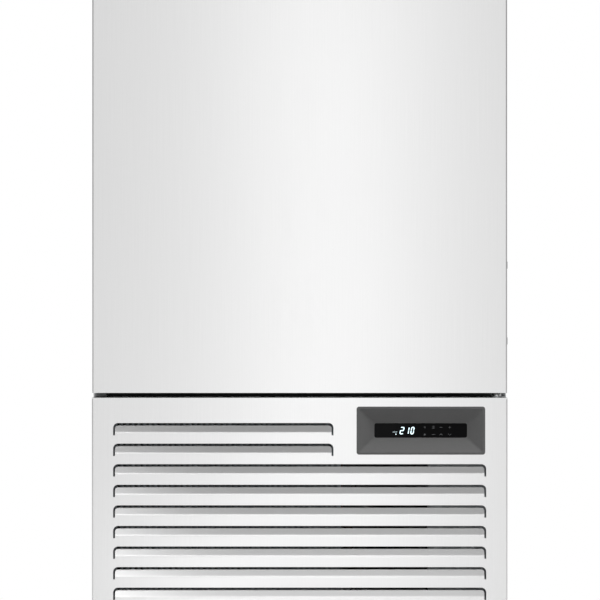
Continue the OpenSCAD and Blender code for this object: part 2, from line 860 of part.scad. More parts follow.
// Moulded bezel, dished from its lip down to the display window
module control_bezel() {
    depth = bezel_depth + bezel_floor;
    rim = 4;
    color(bezel_grey) translate([bezel_x, 0, bezel_z]) difference() {
        union() {
            upright(front_y - bezel_proud, bezel_proud) round_rect(bezel_w, bezel_h, bezel_r);
            upright(front_y - over / 2, depth + over / 2)
                round_rect(cutout_w - 2 * ease, cutout_h - 2 * ease, bezel_r - 2);
        }
        hull() {
            upright(front_y - bezel_proud - 0.1, 0.1)
                round_rect(bezel_w - 2 * rim, bezel_h - 2 * rim, bezel_r - 2, $fn = 32);
            upright(front_y + bezel_depth - 0.1, 0.1) round_rect(window_w, window_h, 4, $fn = 32);
        }
        upright(front_y + bezel_depth - over, bezel_floor + 2 * over)
            round_rect(window_w, window_h, 4, $fn = 32);
        upright(front_y + bezel_depth + bezel_floor - window_t, window_t + over)
            square([window_w + 2 * window_edge, window_h + 2 * window_edge], center = true);
    }
}

// Smoked window over the display and the touch keys
module control_window() {
    y = front_y + bezel_depth + bezel_floor - window_t;
    color(black) translate([bezel_x, 0, bezel_z]) upright(y, window_t)
        square([window_w + 2 * (window_edge - ease / 2), window_h + 2 * (window_edge - ease / 2)],
               center = true);
}

// Box behind the bezel for the controller's board
module control_housing() {
    y0 = front_y + bezel_depth + bezel_floor;
    w = cutout_w - 12;
    h = cutout_h - 8;
    color(black) translate([bezel_x, 0, bezel_z]) difference() {
        upright(y0, housing_d) square([w, h], center = true);
        upright(y0 - over, housing_d + over - housing_wall)
            square([w - 2 * housing_wall, h - 2 * housing_wall], center = true);
    }
}

// Condenser fin block behind the louvres, on two feet
module condenser_fins() {
    foot_w = 30;
    color(fin_grey) {
        fins([cond_end - cond_w, cond_y0, cond_z0], [cond_end, cond_y1, cond_z1], 11, 5);
        for (x = [cond_end - cond_w, cond_end - foot_w])
            block([x, cond_y0, base_top], [x + foot_w, cond_y1, cond_z0 + over]);
    }
}

// Sheet behind the condenser with a round hole for its fan
module condenser_shroud() {
    color(dark_steel) difference() {
        block([cond_end - cond_w, cond_y1, base_top], [cond_end, cond_y1 + cond_shroud_t, cond_z1]);
        translate([cond_x, cond_y1 - over, cond_fan_z]) along_y()
            cylinder(r = cond_hole_r, h = cond_shroud_t + 2 * over);
    }
}

comp_h = 210;
comp_plate_w = 2 * comp_r + 36;
comp_plate_d = 2 * comp_r + 10;
comp_plate_t = 4;
comp_dome = 34;
mount_inset = 18;
mount_x = comp_plate_w / 2 - mount_inset;
mount_y = comp_plate_d / 2 - mount_inset;
mount_r = 15;
bolt_r = 4;

// A domed cap h high for a cylinder of radius r, its rim on z = 0
module dome(r, h) {
    sphere_r = (r * r + h * h) / (2 * h);
    intersection() {
        translate([0, 0, h - sphere_r]) sphere(sphere_r, $fn = 96);
        translate([0, 0, -over]) cylinder(r = r, h = h + 2 * over);
    }
}

// Hermetic compressor: domed shell with a welded seam, on its foot plate
module compressor() {
    seam_z = comp_h * 0.52;
    color(enamel) translate([comp_x, comp_y, comp_z]) {
        difference() {
            block([-comp_plate_w / 2, -comp_plate_d / 2, 0],
                  [comp_plate_w / 2, comp_plate_d / 2, comp_plate_t]);
            for (x = [-mount_x, mount_x], y = [-mount_y, mount_y])
                translate([x, y, -over]) cylinder(r = bolt_r + ease, h = comp_plate_t + 2 * over);
        }
        translate([0, 0, comp_plate_t - over]) cylinder(r = comp_r, h = comp_h - comp_dome + over);
        translate([0, 0, seam_z]) cylinder(r = comp_r + 4, h = 7);
        translate([0, 0, comp_plate_t + comp_h - comp_dome]) dome(comp_r, comp_dome);
        translate(discharge_stub) along_x() cylinder(r = tube_r + 2, h = stub_l);
        translate(suction_stub) along_x() cylinder(r = tube_r + 2, h = stub_l);
    }
}

stub_l = 26;
// Stubs for the two lines, from the compressor's left and right sides
discharge_stub = [-comp_r - stub_l + 8, 0, 150];
suction_stub = [comp_r - 8, 0, 120];

// Rubber bushes and bolts under the compressor's foot plate
module compressor_mounts() {
    bolt_top = comp_z + comp_plate_t + 8;
    color(rubber) for (x = [-mount_x, mount_x], y = [-mount_y, mount_y])
        translate([comp_x + x, comp_y + y, 0]) union() {
            translate([0, 0, base_top]) cylinder(r = mount_r, h = comp_z - base_top);
            translate([0, 0, base_top]) cylinder(r = bolt_r, h = bolt_top - base_top);
            translate([0, 0, comp_z + comp_plate_t]) cylinder(r = bolt_r + 4, h = 7, $fn = 6);
        }
}

// Cover over the compressor's terminals, against the shell at the front
module compressor_terminal_box() {
    w = 78;
    d = 40;
    h = 70;
    color(black) translate([comp_x, comp_y, comp_z + 26]) difference() {
        block([-w / 2, -comp_r - d + 22, 0], [w / 2, -comp_r + 22, h]);
        translate([0, 0, -over]) cylinder(r = comp_r + ease, h = h + 2 * over);
    }
}

receiver_h = 190;

// Receiver: upright vessel with domed ends, on a foot ring
module liquid_receiver() {
    dome_h = 16;
    low = receiver_foot_h + dome_h;
    high = receiver_foot_h + receiver_h - dome_h;
    color(enamel) translate([receiver_x, receiver_y, base_top]) {
        cylinder(r = receiver_r - 8, h = low);
        translate([0, 0, low]) {
            mirror([0, 0, 1]) dome(receiver_r, dome_h);
            cylinder(r = receiver_r, h = high - low);
        }
        translate([0, 0, high]) {
            dome(receiver_r, dome_h);
            for (x = [-receiver_port, receiver_port])
                translate([x, 0, 0]) cylinder(r = tube_r + 2, h = dome_h + receiver_port_h);
        }
    }
}

receiver_foot_h = 26;
receiver_port = 22;
receiver_port_h = 10;
receiver_top = base_top + receiver_foot_h + receiver_h + receiver_port_h;

// Where the tubes rise through the floor and where they meet the coil's right-hand end
riser_x = chamber_w - 22;
coil_end = case_w + case_t;
liquid_riser = [riser_x, coil_y0 + 30, 0];
suction_riser = [riser_x, coil_y1 - 10, 0];
coil_in_z = coil_z0 + 2 * tube_pitch;
coil_out_z = coil_z0 + 10;
drier_step = 90;
drier_lift = 200;
drier_at = [receiver_x + drier_step, receiver_y, base_top + drier_lift];
drier_h = 100;
drier_r = 16;
valve_reach = 30;
valve_arm_z = 16;
valve_z = coil_in_z - valve_arm_z;
valve_h = 46;
bend = 24;
cond_tube_y = cond_y0 + cond_d / 2;

// Filter drier standing in the liquid line
module filter_drier() {
    neck = 10;
    color(copper) translate(drier_at) {
        translate([0, 0, neck]) cylinder(r = drier_r, h = drier_h - 2 * neck);
        cylinder(r = tube_r + 1.5, h = drier_h);
        for (z = [neck, drier_h - neck - 4]) translate([0, 0, z]) cylinder(r = drier_r + 1, h = 4);
    }
}

// Brass valve body with its round power head
module expansion_valve() {
    color("#C9A24E") translate([liquid_riser.x, liquid_riser.y, valve_z]) {
        cylinder(r = 13, h = valve_h - 12, $fn = 6);
        translate([0, 0, valve_h - 14]) cylinder(r = 8, h = 8);
        translate([0, 0, valve_h - 8]) cylinder(r = 19, h = 8);
        translate([-valve_reach, 0, valve_arm_z]) along_x() cylinder(r = tube_r + 1, h = valve_reach - 6);
    }
}

// Hot gas from the compressor to the top of the condenser
module discharge_line() {
    past_stub = 32;
    past_condenser = 60;
    behind_condenser = 100;
    below_top = 20;
    start = [comp_x, comp_y, comp_z] + discharge_stub;
    up_x = start.x - past_stub;
    turn_x = cond_end + past_condenser;
    turn_y = cond_tube_y + behind_condenser;
    z = cond_z1 - below_top;
    color(copper) tube([start, [up_x, start.y, start.z], [up_x, start.y, z], [up_x, turn_y, z],
                        [turn_x, turn_y, z], [turn_x, cond_tube_y, z], [cond_end, cond_tube_y, z]],
                       tube_r, bend);
}

// Liquid from the condenser to the receiver, on to the drier, and up to the valve and the coil
module liquid_line() {
    past_condenser = 50;
    above_bottom = 20;
    before_plate = 30;
    port_rise = 52;
    loop_rise = 60;
    loop_drop = 50;
    behind_drier = 60;
    under_deck = 40;
    from = [cond_end, cond_tube_y, cond_z0 + above_bottom];
    turn_x = cond_end + past_condenser;
    front = comp_y - comp_plate_d / 2 - before_plate;
    port = [receiver_x - receiver_port, receiver_y, receiver_top];
    out = [receiver_x + receiver_port, receiver_y, receiver_top];
    over_z = receiver_top + port_rise;
    drier_top = drier_at + [0, 0, drier_h];
    top_z = drier_top.z + loop_rise;
    low_z = drier_at.z - loop_drop;
    behind = drier_at.y + behind_drier;
    deck_z = cab_z - under_deck;
    valve_in = [liquid_riser.x, liquid_riser.y, valve_z];
    color(copper) {
        tube([from, [turn_x, from.y, from.z], [turn_x, front, from.z], [port.x, front, from.z],
              [port.x, front, over_z], [port.x, port.y, over_z], port], tube_r, bend);
        tube([out, [out.x, out.y, top_z], [drier_top.x, out.y, top_z], drier_top], tube_r, bend);
        tube([drier_at, [drier_at.x, drier_at.y, low_z], [drier_at.x, behind, low_z],
              [drier_at.x, behind, deck_z], [valve_in.x, behind, deck_z],
              [valve_in.x, valve_in.y, deck_z], valve_in], tube_r, bend);
        translate([coil_end, liquid_riser.y, coil_in_z]) along_x()
            cylinder(r = tube_r, h = riser_x - valve_reach - coil_end);
    }
}

// Cold gas from the bottom of the coil down to the compressor
module suction_line() {
    into = [comp_x, comp_y, comp_z] + suction_stub + [stub_l, 0, 0];
    side_x = into.x + 36;
    color(copper) tube([[coil_end, suction_riser.y, coil_out_z], [riser_x, suction_riser.y, coil_out_z],
                        [riser_x, suction_riser.y, into.z], [side_x, suction_riser.y, into.z],
                        [side_x, into.y, into.z], into], tube_r, bend);
}

// Sheet box for the wiring, on the right-hand side behind the front post
module electrical_box() {
    box_w = 150;
    box_d = 90;
    behind_front = 60;
    above_base = 40;
    below_bezel = 12;
    low = [inner_w - box_w, front_y + behind_front, base_top + above_base];
    high = [inner_w, low.y + box_d, bezel_z - bezel_h / 2 - below_bezel];
    edge = [frame_t, 0, frame_t];
    color(dark_steel) {
        difference() {
            block(low, high);
            block(low + edge + [0, frame_t, 0], high - edge + [0, over, 0]);
        }
        block([low.x, high.y + ease, low.z], [high.x, high.y + ease + sheet_t, high.z]);
    }
}

// Sheet that closes the compartment at the back, slotted where the condenser's fan blows
module rear_grille() {
    rows = 9;
    columns = 3;
    slot_w = 96;
    slot_h = 9;
    pitch_z = 21.4;
    pitch_x = 124;
    top = cab_z - 78.3;
    color(steel) difference() {
        block([-inner_w, back_y - sheet_t, leg_h], [inner_w, back_y, cab_z]);
        for (row = [0:rows - 1], column = [1:columns])
            translate([(column - columns) * pitch_x, 0, top - row * pitch_z])
                upright(back_y - sheet_t - over, sheet_t + 2 * over)
                    round_rect(slot_w, slot_h, slot_h / 2 - 0.1);
        translate([cord_gland_at.x, 0, cord_gland_at.z])
            upright(back_y - sheet_t - over, sheet_t + 2 * over) circle(gland_r);
        rear_screw_places() screw_hole();
    }
}

gland_r = 10;
cord_gland_at = [inner_w - 110, back_y, base_top + 60];
probe_gland_at = [-chamber_w, liner_y0 + 110, chamber_z1 - 90];

// Places of the screws that hold the rear grille to the posts
module rear_screw_places() {
    for (side = [-1, 1], z = [base_top + 40, (base_top + cab_z) / 2, cab_z - 40])
        translate([side * (inner_w - post_w / 2), back_y, z]) rotate([-90, 0, 0]) children();
}

// A gland standing on z = 0: hexagon and round nut
module gland() {
    cylinder(r = gland_r + 3, h = 5, $fn = 6);
    translate([0, 0, 4]) cylinder(r = gland_r, h = 7);
}

// Supply cord's gland at the back and the core probe's gland on the chamber wall
module cable_glands() {
    color(black) {
        translate(cord_gland_at) along_y() {
            gland();
            translate([0, 0, -sheet_t]) cylinder(r = gland_r - ease, h = sheet_t + over);
        }
        translate(probe_gland_at) along_x() gland();
    }
}

// Blocks that keep the back off the wall, moulded plastic
module wall_spacers() {
    spacer_w = 34;
    spacer_h = 60;
    flange = 8;
    color(black) for (side = [-1, 1], z = [cab_z + 90, body_h - 110])
        translate([side * (half_w - 70), 0, z]) {
            upright(back_y, 4) round_rect(spacer_w + 2 * flange, spacer_h + 2 * flange, 5);
            upright(back_y + 3, spacer_t - 3) round_rect(spacer_w, spacer_h, 5);
        }
}

// ---------- legs ----------

sleeve_r = 25;
sleeve_wall = 1.5;
plate_w = 84;
plate_t = 3;
nut_h = 12;
spindle_r = 8;
spindle_top = 104;
thread_clear = 0.05;

// Four leg tubes, each with a fixing plate above and a threaded plug below
module leg_sleeves() {
    color(steel) for (x = [-leg_x, leg_x], y = [leg_y0, leg_y1]) translate([x, y, 0]) difference() {
        union() {
            translate([0, 0, leg_h - plate_t]) linear_extrude(plate_t) round_rect(plate_w, plate_w, 8);
            translate([0, 0, sleeve_z]) cylinder(r = sleeve_r, h = leg_h - plate_t - sleeve_z + over / 2);
        }
        translate([0, 0, sleeve_z + nut_h])
            cylinder(r = sleeve_r - sleeve_wall, h = leg_h - plate_t - sleeve_z - nut_h);
        translate([0, 0, sleeve_z - over]) cylinder(r = spindle_r + thread_clear, h = nut_h + 2 * over);
    }
}

// A foot: pad and collar turned in one piece with the spindle that screws into the sleeve
module foot(x, y) {
    pad_r = 21;
    pad_h = 9;
    collar_r = 17;
    color(dark_steel) translate([x, y, 0]) {
        cylinder(r = pad_r, h = pad_h);
        translate([0, 0, pad_h - over]) cylinder(r = collar_r, h = sleeve_z - ease - pad_h + over);
        translate([0, 0, sleeve_z - ease - over])
            cylinder(r = spindle_r, h = spindle_top - sleeve_z + ease + over);
    }
}

// ---------- hinges ----------

// A bracket's plate seen from above: round about the pin, wider where it meets the front frame
module hinge_plate(clear) {
    hull() {
        translate([hinge_x, hinge_y]) circle(hinge_nose + clear);
        translate([hinge_x - hinge_in - clear, cab_y - hinge_leg])
            square([hinge_in + hinge_w / 2 + 2 * clear, hinge_leg]);
    }
}

// Lower bracket: its plate is let into the panel's flange, and its collar lifts the door
module hinge_bracket() {
    z0 = -hinge_sunk;
    z1 = z0 + hinge_t;
    rest = door_gap - ease - bush_flange_t;
    translate([0, 0, z0]) linear_extrude(hinge_t) hinge_plate(0);
    block([hinge_x - hinge_in, cab_y - hinge_t, z0], [hinge_x + hinge_w / 2, cab_y, z0 + hinge_leg]);
    translate([hinge_x, hinge_y, z1 - over]) cylinder(r = collar_r, h = rest - z1 + over);
    translate([hinge_x, hinge_y, z0]) cylinder(r = pin_r, h = door_gap + pin_reach - z0);
}

module hinge_brackets() {
    color(steel) {
        difference() {
            translate([0, 0, panel_top]) hinge_bracket();
            hinge_screw_holes();
        }
        difference() {
            upper_hinge_bracket();
            hinge_screw_holes();
        }
    }
}

// Upper bracket: its plate lies between the door's top and the level of the top panel
module upper_hinge_bracket() {
    z1 = body_h - hinge_gap;
    z0 = z1 - hinge_t;
    translate([0, 0, z0]) linear_extrude(hinge_t) hinge_plate(0);
    block([hinge_x - hinge_in, cab_y - hinge_t, z1 - hinge_leg], [hinge_x + hinge_w / 2, cab_y, z1]);
    translate([hinge_x, hinge_y, door_z1 - pin_reach]) cylinder(r = pin_r, h = z1 - door_z1 + pin_reach);
}

module hinge_screw_places() {
    for (x = [-2.5, 12], z = [panel_top - hinge_sunk + hinge_leg - 8, body_h - hinge_gap - hinge_leg + 8])
        translate([hinge_x + x, cab_y - hinge_t, z]) rotate([90, 0, 0]) children();
}

module hinge_screw_holes() {
    hinge_screw_places() screw_hole();
}

// Nylon bushes in the door's bottom and top
module hinge_bushes() {
    color(nylon) {
        translate([hinge_x, hinge_y, door_z0]) hinge_bush();
        translate([hinge_x, hinge_y, door_z1]) mirror([0, 0, 1]) hinge_bush();
    }
}

module hinge_bush() {
    difference() {
        union() {
            cylinder(r = bush_r, h = bush_l);
            translate([0, 0, -bush_flange_t]) cylinder(r = bush_flange_r, h = bush_flange_t);
        }
        translate([0, 0, -bush_flange_t - over])
            cylinder(r = pin_r + pin_clear, h = bush_l - 2 + bush_flange_t + over);
    }
}

module bush_holes() {
    for (z = [door_z0 - over, door_z1 - bush_l - over])
        translate([hinge_x, hinge_y, z]) cylinder(r = bush_r, h = bush_l + 2 * over);
}

// Button-head screws that show or hold a cover
module screws() {
    color(dark_steel) {
        panel_screw_places() screw();
        hinge_screw_places() screw();
        fan_panel_screws() screw();
        rear_screw_places() screw();
    }
}

// ---------- door ----------

// Outer skin: front face and folded sides, cut short at the left for the handle channel
module door_skin() {
    color(steel) difference() {
        translate([0, front_y, door_z0]) linear_extrude(door_z1 - door_z0)
            folded_front(2 * door_w, grip_y1 - front_y, door_edge_r, sheet_t);
        block([-half_w - over, grip_y0, door_z0 - over],
              [-door_w + sheet_t + over, grip_y1 + over, door_z1 + over]);
        door_plug_shapes(plug_clear, plug_l + over);
    }
}

// Inner panel: folded forwards at the sides, dished in the middle
module door_liner() {
    mid = (door_z0 + door_z1) / 2;
    dish_w = 2 * (door_w - dish_inset);
    dish_h = door_z1 - door_z0 - 2 * dish_inset;
    color(steel) difference() {
        union() {
            block([-door_w, door_back - sheet_t, door_z0], [door_w, door_back, door_z1]);
            for (side = [-1, 1])
                block([side > 0 ? door_w - sheet_t : -door_w, grip_y1, door_z0],
                      [side > 0 ? door_w : -door_w + sheet_t, door_back - sheet_t / 2, door_z1]);
            translate([0, 0, mid]) upright(door_back - sheet_t - dish_depth, dish_depth + sheet_t / 2)
                round_rect(dish_w + 2 * sheet_t, dish_h + 2 * sheet_t, dish_r + sheet_t);
        }
        translate([0, 0, mid]) upright(door_back - dish_depth, dish_depth + over)
            round_rect(dish_w, dish_h, dish_r);
    }
}

// Foam core, poured between the skin, the handle channel and the inner panel
module door_core() {
    mid = (door_z0 + door_z1) / 2;
    dish_w = 2 * (door_w - dish_inset + sheet_t);
    dish_h = door_z1 - door_z0 - 2 * dish_inset + 2 * sheet_t;
    color(foam_yellow) difference() {
        translate([0, front_y + sheet_t, door_z0 + cap_t]) linear_extrude(door_z1 - door_z0 - 2 * cap_t)
            front_round(2 * (door_w - sheet_t), door_t - 2 * sheet_t, max(door_edge_r - sheet_t, 0.4));
        block([-door_w - over, grip_y0, door_z0], [-door_w + grip_depth, grip_y1, door_z1]);
        translate([0, 0, mid]) upright(door_back - sheet_t - dish_depth, dish_depth + over)
            round_rect(dish_w, dish_h, dish_r + sheet_t);
        bush_holes();
        door_plug_shapes(plug_clear, plug_l + over);
    }
}

// Magnetic gasket round the inner panel's edge
module door_gasket() {
    depth = gasket_d - ease;
    mid = (door_z0 + door_z1) / 2;
    w = 2 * (door_w - gasket_inset);
    h = door_z1 - door_z0 - 2 * gasket_inset;
    step = 5;
    color(rubber) translate([0, 0, mid]) difference() {
        union() {
            upright(door_back, depth / 2) round_rect(w, h, 6);
            upright(door_back + depth / 2 - over / 2, depth / 2 + over / 2)
                round_rect(w - step, h - step, 6);
        }
        upright(door_back - over, depth + 2 * over) round_rect(w - 2 * gasket_w, h - 2 * gasket_w, 3);
    }
}

// Handle channel down the door's left edge, open to the side
module door_handle() {
    color(dark_steel) difference() {
        block([-door_w, grip_y0, door_z0 + cap_t], [-door_w + grip_depth, grip_y1, door_z1 - cap_t]);
        block([-door_w - over, grip_y0 + grip_wall, door_z0],
              [-door_w + grip_depth - grip_wall, grip_y1 - grip_wall, door_z1]);
    }
}

// Caps that close the door's top and bottom, inside the skin
module door_end_caps() {
    color(black) for (z = [door_z0, door_z1 - cap_t]) difference() {
        translate([0, front_y + sheet_t, z]) linear_extrude(cap_t)
            front_round(2 * (door_w - sheet_t), door_t - 2 * sheet_t, max(door_edge_r - sheet_t, 0.4));
        bush_holes();
    }
}

// Small oblong plugs that close the foaming holes in the door's hinge-side edge
plug_w = 7;
plug_h = 14;
plug_l = 5;
plug_clear = 0.05;
plug_lift = 100;
plug_step = 146;
door_plug_z = [door_z0 + plug_lift, door_z0 + plug_lift + plug_step];

module door_plug_shapes(gap, l) {
    for (z = door_plug_z) translate([door_w - plug_l, front_y + door_edge_r + 1 + plug_w / 2, z])
        along_x() linear_extrude(l) round_rect(plug_h + 2 * gap, plug_w + 2 * gap, plug_w / 2 - 0.1);
}

module door_plugs() {
    color(black) door_plug_shapes(0, plug_l + door_inset);
}

// ---------- assembly ----------

side_panel(-1);  // side_panel_left
side_panel(1);  // side_panel_right
top_panel();
back_panel();
floor_pan();
front_frame();
sill_seal();
foam_insulation();
inner_liner();
rack_uprights();
tray_runners();
fan_panel();
chamber_fan_guards();
fan_motors();
evaporator_fins();
evaporator_end_plates();
coil_bends();
drip_pan();
drain_pipe();
evaporation_tray();
base_pan();
corner_posts();
front_rail();
louvred_panel();
control_bezel();
control_window();
control_housing();
screws();
compressor();
compressor_terminal_box();
compressor_mounts();
condenser_fins();
condenser_shroud();
liquid_receiver();
filter_drier();
expansion_valve();
discharge_line();
liquid_line();
suction_line();
electrical_box();
rear_grille();
cable_glands();
wall_spacers();
leg_sleeves();
hinge_brackets();
door_skin();
door_liner();
door_core();
door_gasket();
door_handle();
door_end_caps();
hinge_bushes();
door_plugs();
chamber_fan(1);  // chamber_fan_upper
chamber_fan(0);  // chamber_fan_lower
condenser_fan();
foot(-leg_x, leg_y0);  // foot_front_left
foot(leg_x, leg_y0);  // foot_front_right
foot(-leg_x, leg_y1);  // foot_rear_left
foot(leg_x, leg_y1);  // foot_rear_right
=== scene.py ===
# Upright blast chiller with one tall insulated door above a louvred machine panel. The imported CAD
# model is the frame: metres, X to the right, Y to the back, Z up, the floor at z = 0.

import itertools
import math

import bpy
from mathutils import Matrix, Vector


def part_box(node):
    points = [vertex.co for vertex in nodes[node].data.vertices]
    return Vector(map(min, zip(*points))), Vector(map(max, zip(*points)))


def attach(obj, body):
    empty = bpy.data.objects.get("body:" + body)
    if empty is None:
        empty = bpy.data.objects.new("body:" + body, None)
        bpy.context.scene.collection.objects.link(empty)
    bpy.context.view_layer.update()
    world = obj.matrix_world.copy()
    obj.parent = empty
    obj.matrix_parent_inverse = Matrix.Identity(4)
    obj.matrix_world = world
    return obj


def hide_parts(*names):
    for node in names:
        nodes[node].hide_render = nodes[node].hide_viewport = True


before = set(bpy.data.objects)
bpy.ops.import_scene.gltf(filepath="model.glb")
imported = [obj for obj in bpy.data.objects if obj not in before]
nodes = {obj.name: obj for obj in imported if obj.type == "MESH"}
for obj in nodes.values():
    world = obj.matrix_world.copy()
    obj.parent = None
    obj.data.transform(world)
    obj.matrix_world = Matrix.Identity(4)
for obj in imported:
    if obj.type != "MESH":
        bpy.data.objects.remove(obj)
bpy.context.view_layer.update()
MM = 0.001

# ---------- camera ----------
# The photograph is taken straight on, from far away: neither side of the machine shows. Its frame
# is 1.155 m wide at the door's face, and its middle lies some 180 mm above the door's lower edge.
picture_width = 1.1547
picture_middle_x, picture_middle_z = 0.0006, 0.7442
camera_distance = 10.0
front_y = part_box("louvred_panel")[0].y
sensor_mm = 36
farthest_seen = 50
camera_data = bpy.data.cameras.new("camera")
camera_data.sensor_width = sensor_mm
camera_data.lens = sensor_mm * camera_distance / picture_width
camera_data.clip_end = farthest_seen
camera = bpy.data.objects.new("camera", camera_data)
camera.location = (picture_middle_x, front_y - camera_distance, picture_middle_z)
camera.rotation_euler = (math.radians(90), 0, 0)
bpy.context.scene.collection.objects.link(camera)
bpy.context.scene.camera = camera
bpy.context.scene.view_settings.view_transform = "Standard"

# ---------- studio ----------
# A white room with soft lamps. The camera sees plain white. Steel mirrors the room, white in front
# and behind, greyer to the sides and overhead, which draws its folds and louvres.


def linear(code):
    """The linear colour of an sRGB hex value."""
    channels = [int(code[i : i + 2], 16) / 255 for i in (1, 3, 5)]
    return [c / 12.92 if c <= 0.04045 else ((c + 0.055) / 1.055) ** 2.4 for c in channels] + [1]


def add_node(tree, kind, settings=None, links=None):
    """Adds a node. Settings go to its properties or sockets, links come from other sockets."""
    made = tree.nodes.new("ShaderNode" + kind)
    for name, value in (settings or {}).items():
        if name == "stops":
            ramp = made.color_ramp.elements
            while len(ramp) < len(value):
                ramp.new(0.5)
            for stop, (place, colour) in zip(ramp, value):
                stop.position = place
                stop.color = linear(colour)
        elif isinstance(name, str) and hasattr(made, name):
            setattr(made, name, value)
        else:
            made.inputs[name].default_value = value
    for name, socket in (links or {}).items():
        tree.links.new(socket, made.inputs[name])
    return made


world = bpy.data.worlds.new("studio")
bpy.context.scene.world = world
world.use_nodes = True
room = world.node_tree
room.nodes.clear()
direction = add_node(room, "TexCoord")
way = add_node(room, "SeparateXYZ", links={"Vector": direction.outputs["Generated"]})
height = add_node(room, "MapRange", {"From Min": -1.0}, {"Value": way.outputs["Z"]})
sideways = add_node(room, "Math", {"operation": "ABSOLUTE"}, {0: way.outputs["X"]})
by_height = add_node(
    room,
    "ValToRGB",
    {"stops": [(0.0, "#B0B0B0"), (0.45, "#FFFFFF"), (0.74, "#FFFFFF"), (0.85, "#9B9B9B")]},
    {"Fac": height.outputs["Result"]},
)
by_side = add_node(
    room,
    "ValToRGB",
    {"stops": [(0.06, "#FFFFFF"), (0.4, "#D4D4D4"), (0.85, "#A0A0A0")]},
    {"Fac": sideways.outputs[0]},
)
seen_by_steel = add_node(
    room,
    "Mix",
    {"data_type": "RGBA", "blend_type": "MULTIPLY", 0: 1.0},
    {6: by_height.outputs[0], 7: by_side.outputs[0]},
)
falling = add_node(
    room, "ValToRGB", {"stops": [(0.25, "#303030"), (0.95, "#FFFFFF")]}, {"Fac": height.outputs[0]}
)
path = add_node(room, "LightPath")
white_rays = add_node(
    room,
    "Math",
    {"operation": "MAXIMUM"},
    {0: path.outputs["Is Camera Ray"], 1: path.outputs["Is Transmission Ray"]},
)
ambient = add_node(room, "Background", {"Strength": 0.2}, {"Color": falling.outputs[0]})
reflected = add_node(room, "Background", {"Strength": 1.0}, {"Color": seen_by_steel.outputs[2]})
backdrop = add_node(room, "Background", {"Color": linear("#FFFFFF"), "Strength": 1.0})
glossy_mix = add_node(
    room,
    "MixShader",
    links={0: path.outputs["Is Glossy Ray"], 1: ambient.outputs[0], 2: reflected.outputs[0]},
)
camera_mix = add_node(
    room, "MixShader", links={0: white_rays.outputs[0], 1: glossy_mix.outputs[0], 2: backdrop.outputs[0]}
)
add_node(room, "OutputWorld", links={"Surface": camera_mix.outputs[0]})

# Each lamp: place, the point it looks at, width, height, power, the angle it spreads over, and
# whether steel mirrors it. The small ones are gridded, so that only the louvres mirror them.
lamps = {
    "overhead": ((0.5, -1.4, 3.8), (0, -0.2, 0.7), 2.6, 2.2, 175, 180, False),
    "left_fill": ((-3.2, -1.6, 1.9), (0, 0, 0.8), 1.8, 2.4, 4, 180, False),
    "right_fill": ((3.2, -1.2, 1.7), (0, 0, 0.8), 1.8, 2.4, 16, 180, False),
    "rear_fill": ((0.6, 3.4, 2.6), (0, 0, 0.8), 2.6, 2.0, 40, 180, False),
    "door_strip": ((0.07, -2.2, 0.85), (0.07, 0, 0.85), 0.35, 1.9, 1.55, 180, True),
    "louvre_glow": ((-0.1, -1.2, 0.82), (-0.1, -0.4, 0.0), 1.2, 0.25, 0.085, 50, True),
    "corner_glow": ((-0.62, -1.2, 0.92), (-0.35, -0.4, 0.1), 0.4, 0.5, 0.11, 50, True),
    "low_glow": ((-0.22, -1.25, 0.16), (-0.22, -0.4, 0.18), 0.25, 0.15, 0.005, 50, True),
}
for name, (place, target, width, tall, power, spread, mirrored) in lamps.items():
    light = bpy.data.lights.new(name, "AREA")
    light.shape = "RECTANGLE"
    light.size = width
    light.size_y = tall
    light.energy = power
    light.spread = math.radians(spread)
    lamp = bpy.data.objects.new(name, light)
    lamp.location = place
    lamp.rotation_euler = (Vector(target) - Vector(place)).to_track_quat("-Z", "Y").to_euler()
    lamp.visible_camera = False
    lamp.visible_glossy = mirrored
    bpy.context.scene.collection.objects.link(lamp)

# ---------- floor ----------
# A plain pale floor in matt paint, which takes the machine's soft shadow. Away from the machine it
# turns to the backdrop's white, as a studio sweep does.


def new_finish(name, colour=None, **sockets):
    """A material with its Principled shader: returns the material, its node tree and the shader."""
    material = bpy.data.materials.new(name)
    material.use_nodes = True
    shader = material.node_tree.nodes["Principled BSDF"]
    if colour:
        shader.inputs["Base Color"].default_value = linear(colour)
    for socket, value in sockets.items():
        shader.inputs[socket.replace("_", " ").title().replace("Ior", "IOR")].default_value = value
    return material, material.node_tree, shader


def deselect():
    """Leaves nothing selected, in object mode."""
    if bpy.context.mode != "OBJECT":
        bpy.ops.object.mode_set(mode="OBJECT")
    bpy.ops.object.select_all(action="DESELECT")


floor_size = 14
sweep_start, sweep_end = 0.62, 1.05
deselect()
bpy.ops.mesh.primitive_plane_add(size=floor_size, location=(0, 0, 0))
floor = bpy.context.object
floor.name = "floor"
floor_paint, tree, shader = new_finish("floor_paint", "#D6D6D6", roughness=0.9)
place = add_node(tree, "TexCoord")
from_machine = add_node(
    tree, "VectorMath", {"operation": "LENGTH"}, {0: place.outputs["Object"]}
)
sweep = add_node(
    tree,
    "MapRange",
    {"From Min": sweep_start, "From Max": sweep_end},
    {"Value": from_machine.outputs["Value"]},
)
eye = add_node(tree, "LightPath")
seen = add_node(
    tree,
    "Math",
    {"operation": "MAXIMUM"},
    {0: eye.outputs["Is Camera Ray"], 1: eye.outputs["Is Glossy Ray"]},
)
white_share = add_node(
    tree, "Math", {"operation": "MULTIPLY"}, {0: sweep.outputs[0], 1: seen.outputs[0]}
)
white = add_node(tree, "Emission", {"Color": linear("#FFFFFF"), "Strength": 1.0})
mix = add_node(
    tree, "MixShader", links={0: white_share.outputs[0], 1: shader.outputs[0], 2: white.outputs[0]}
)
tree.links.new(mix.outputs[0], tree.nodes["Material Output"].inputs["Surface"])
floor.data.materials.append(floor_paint)

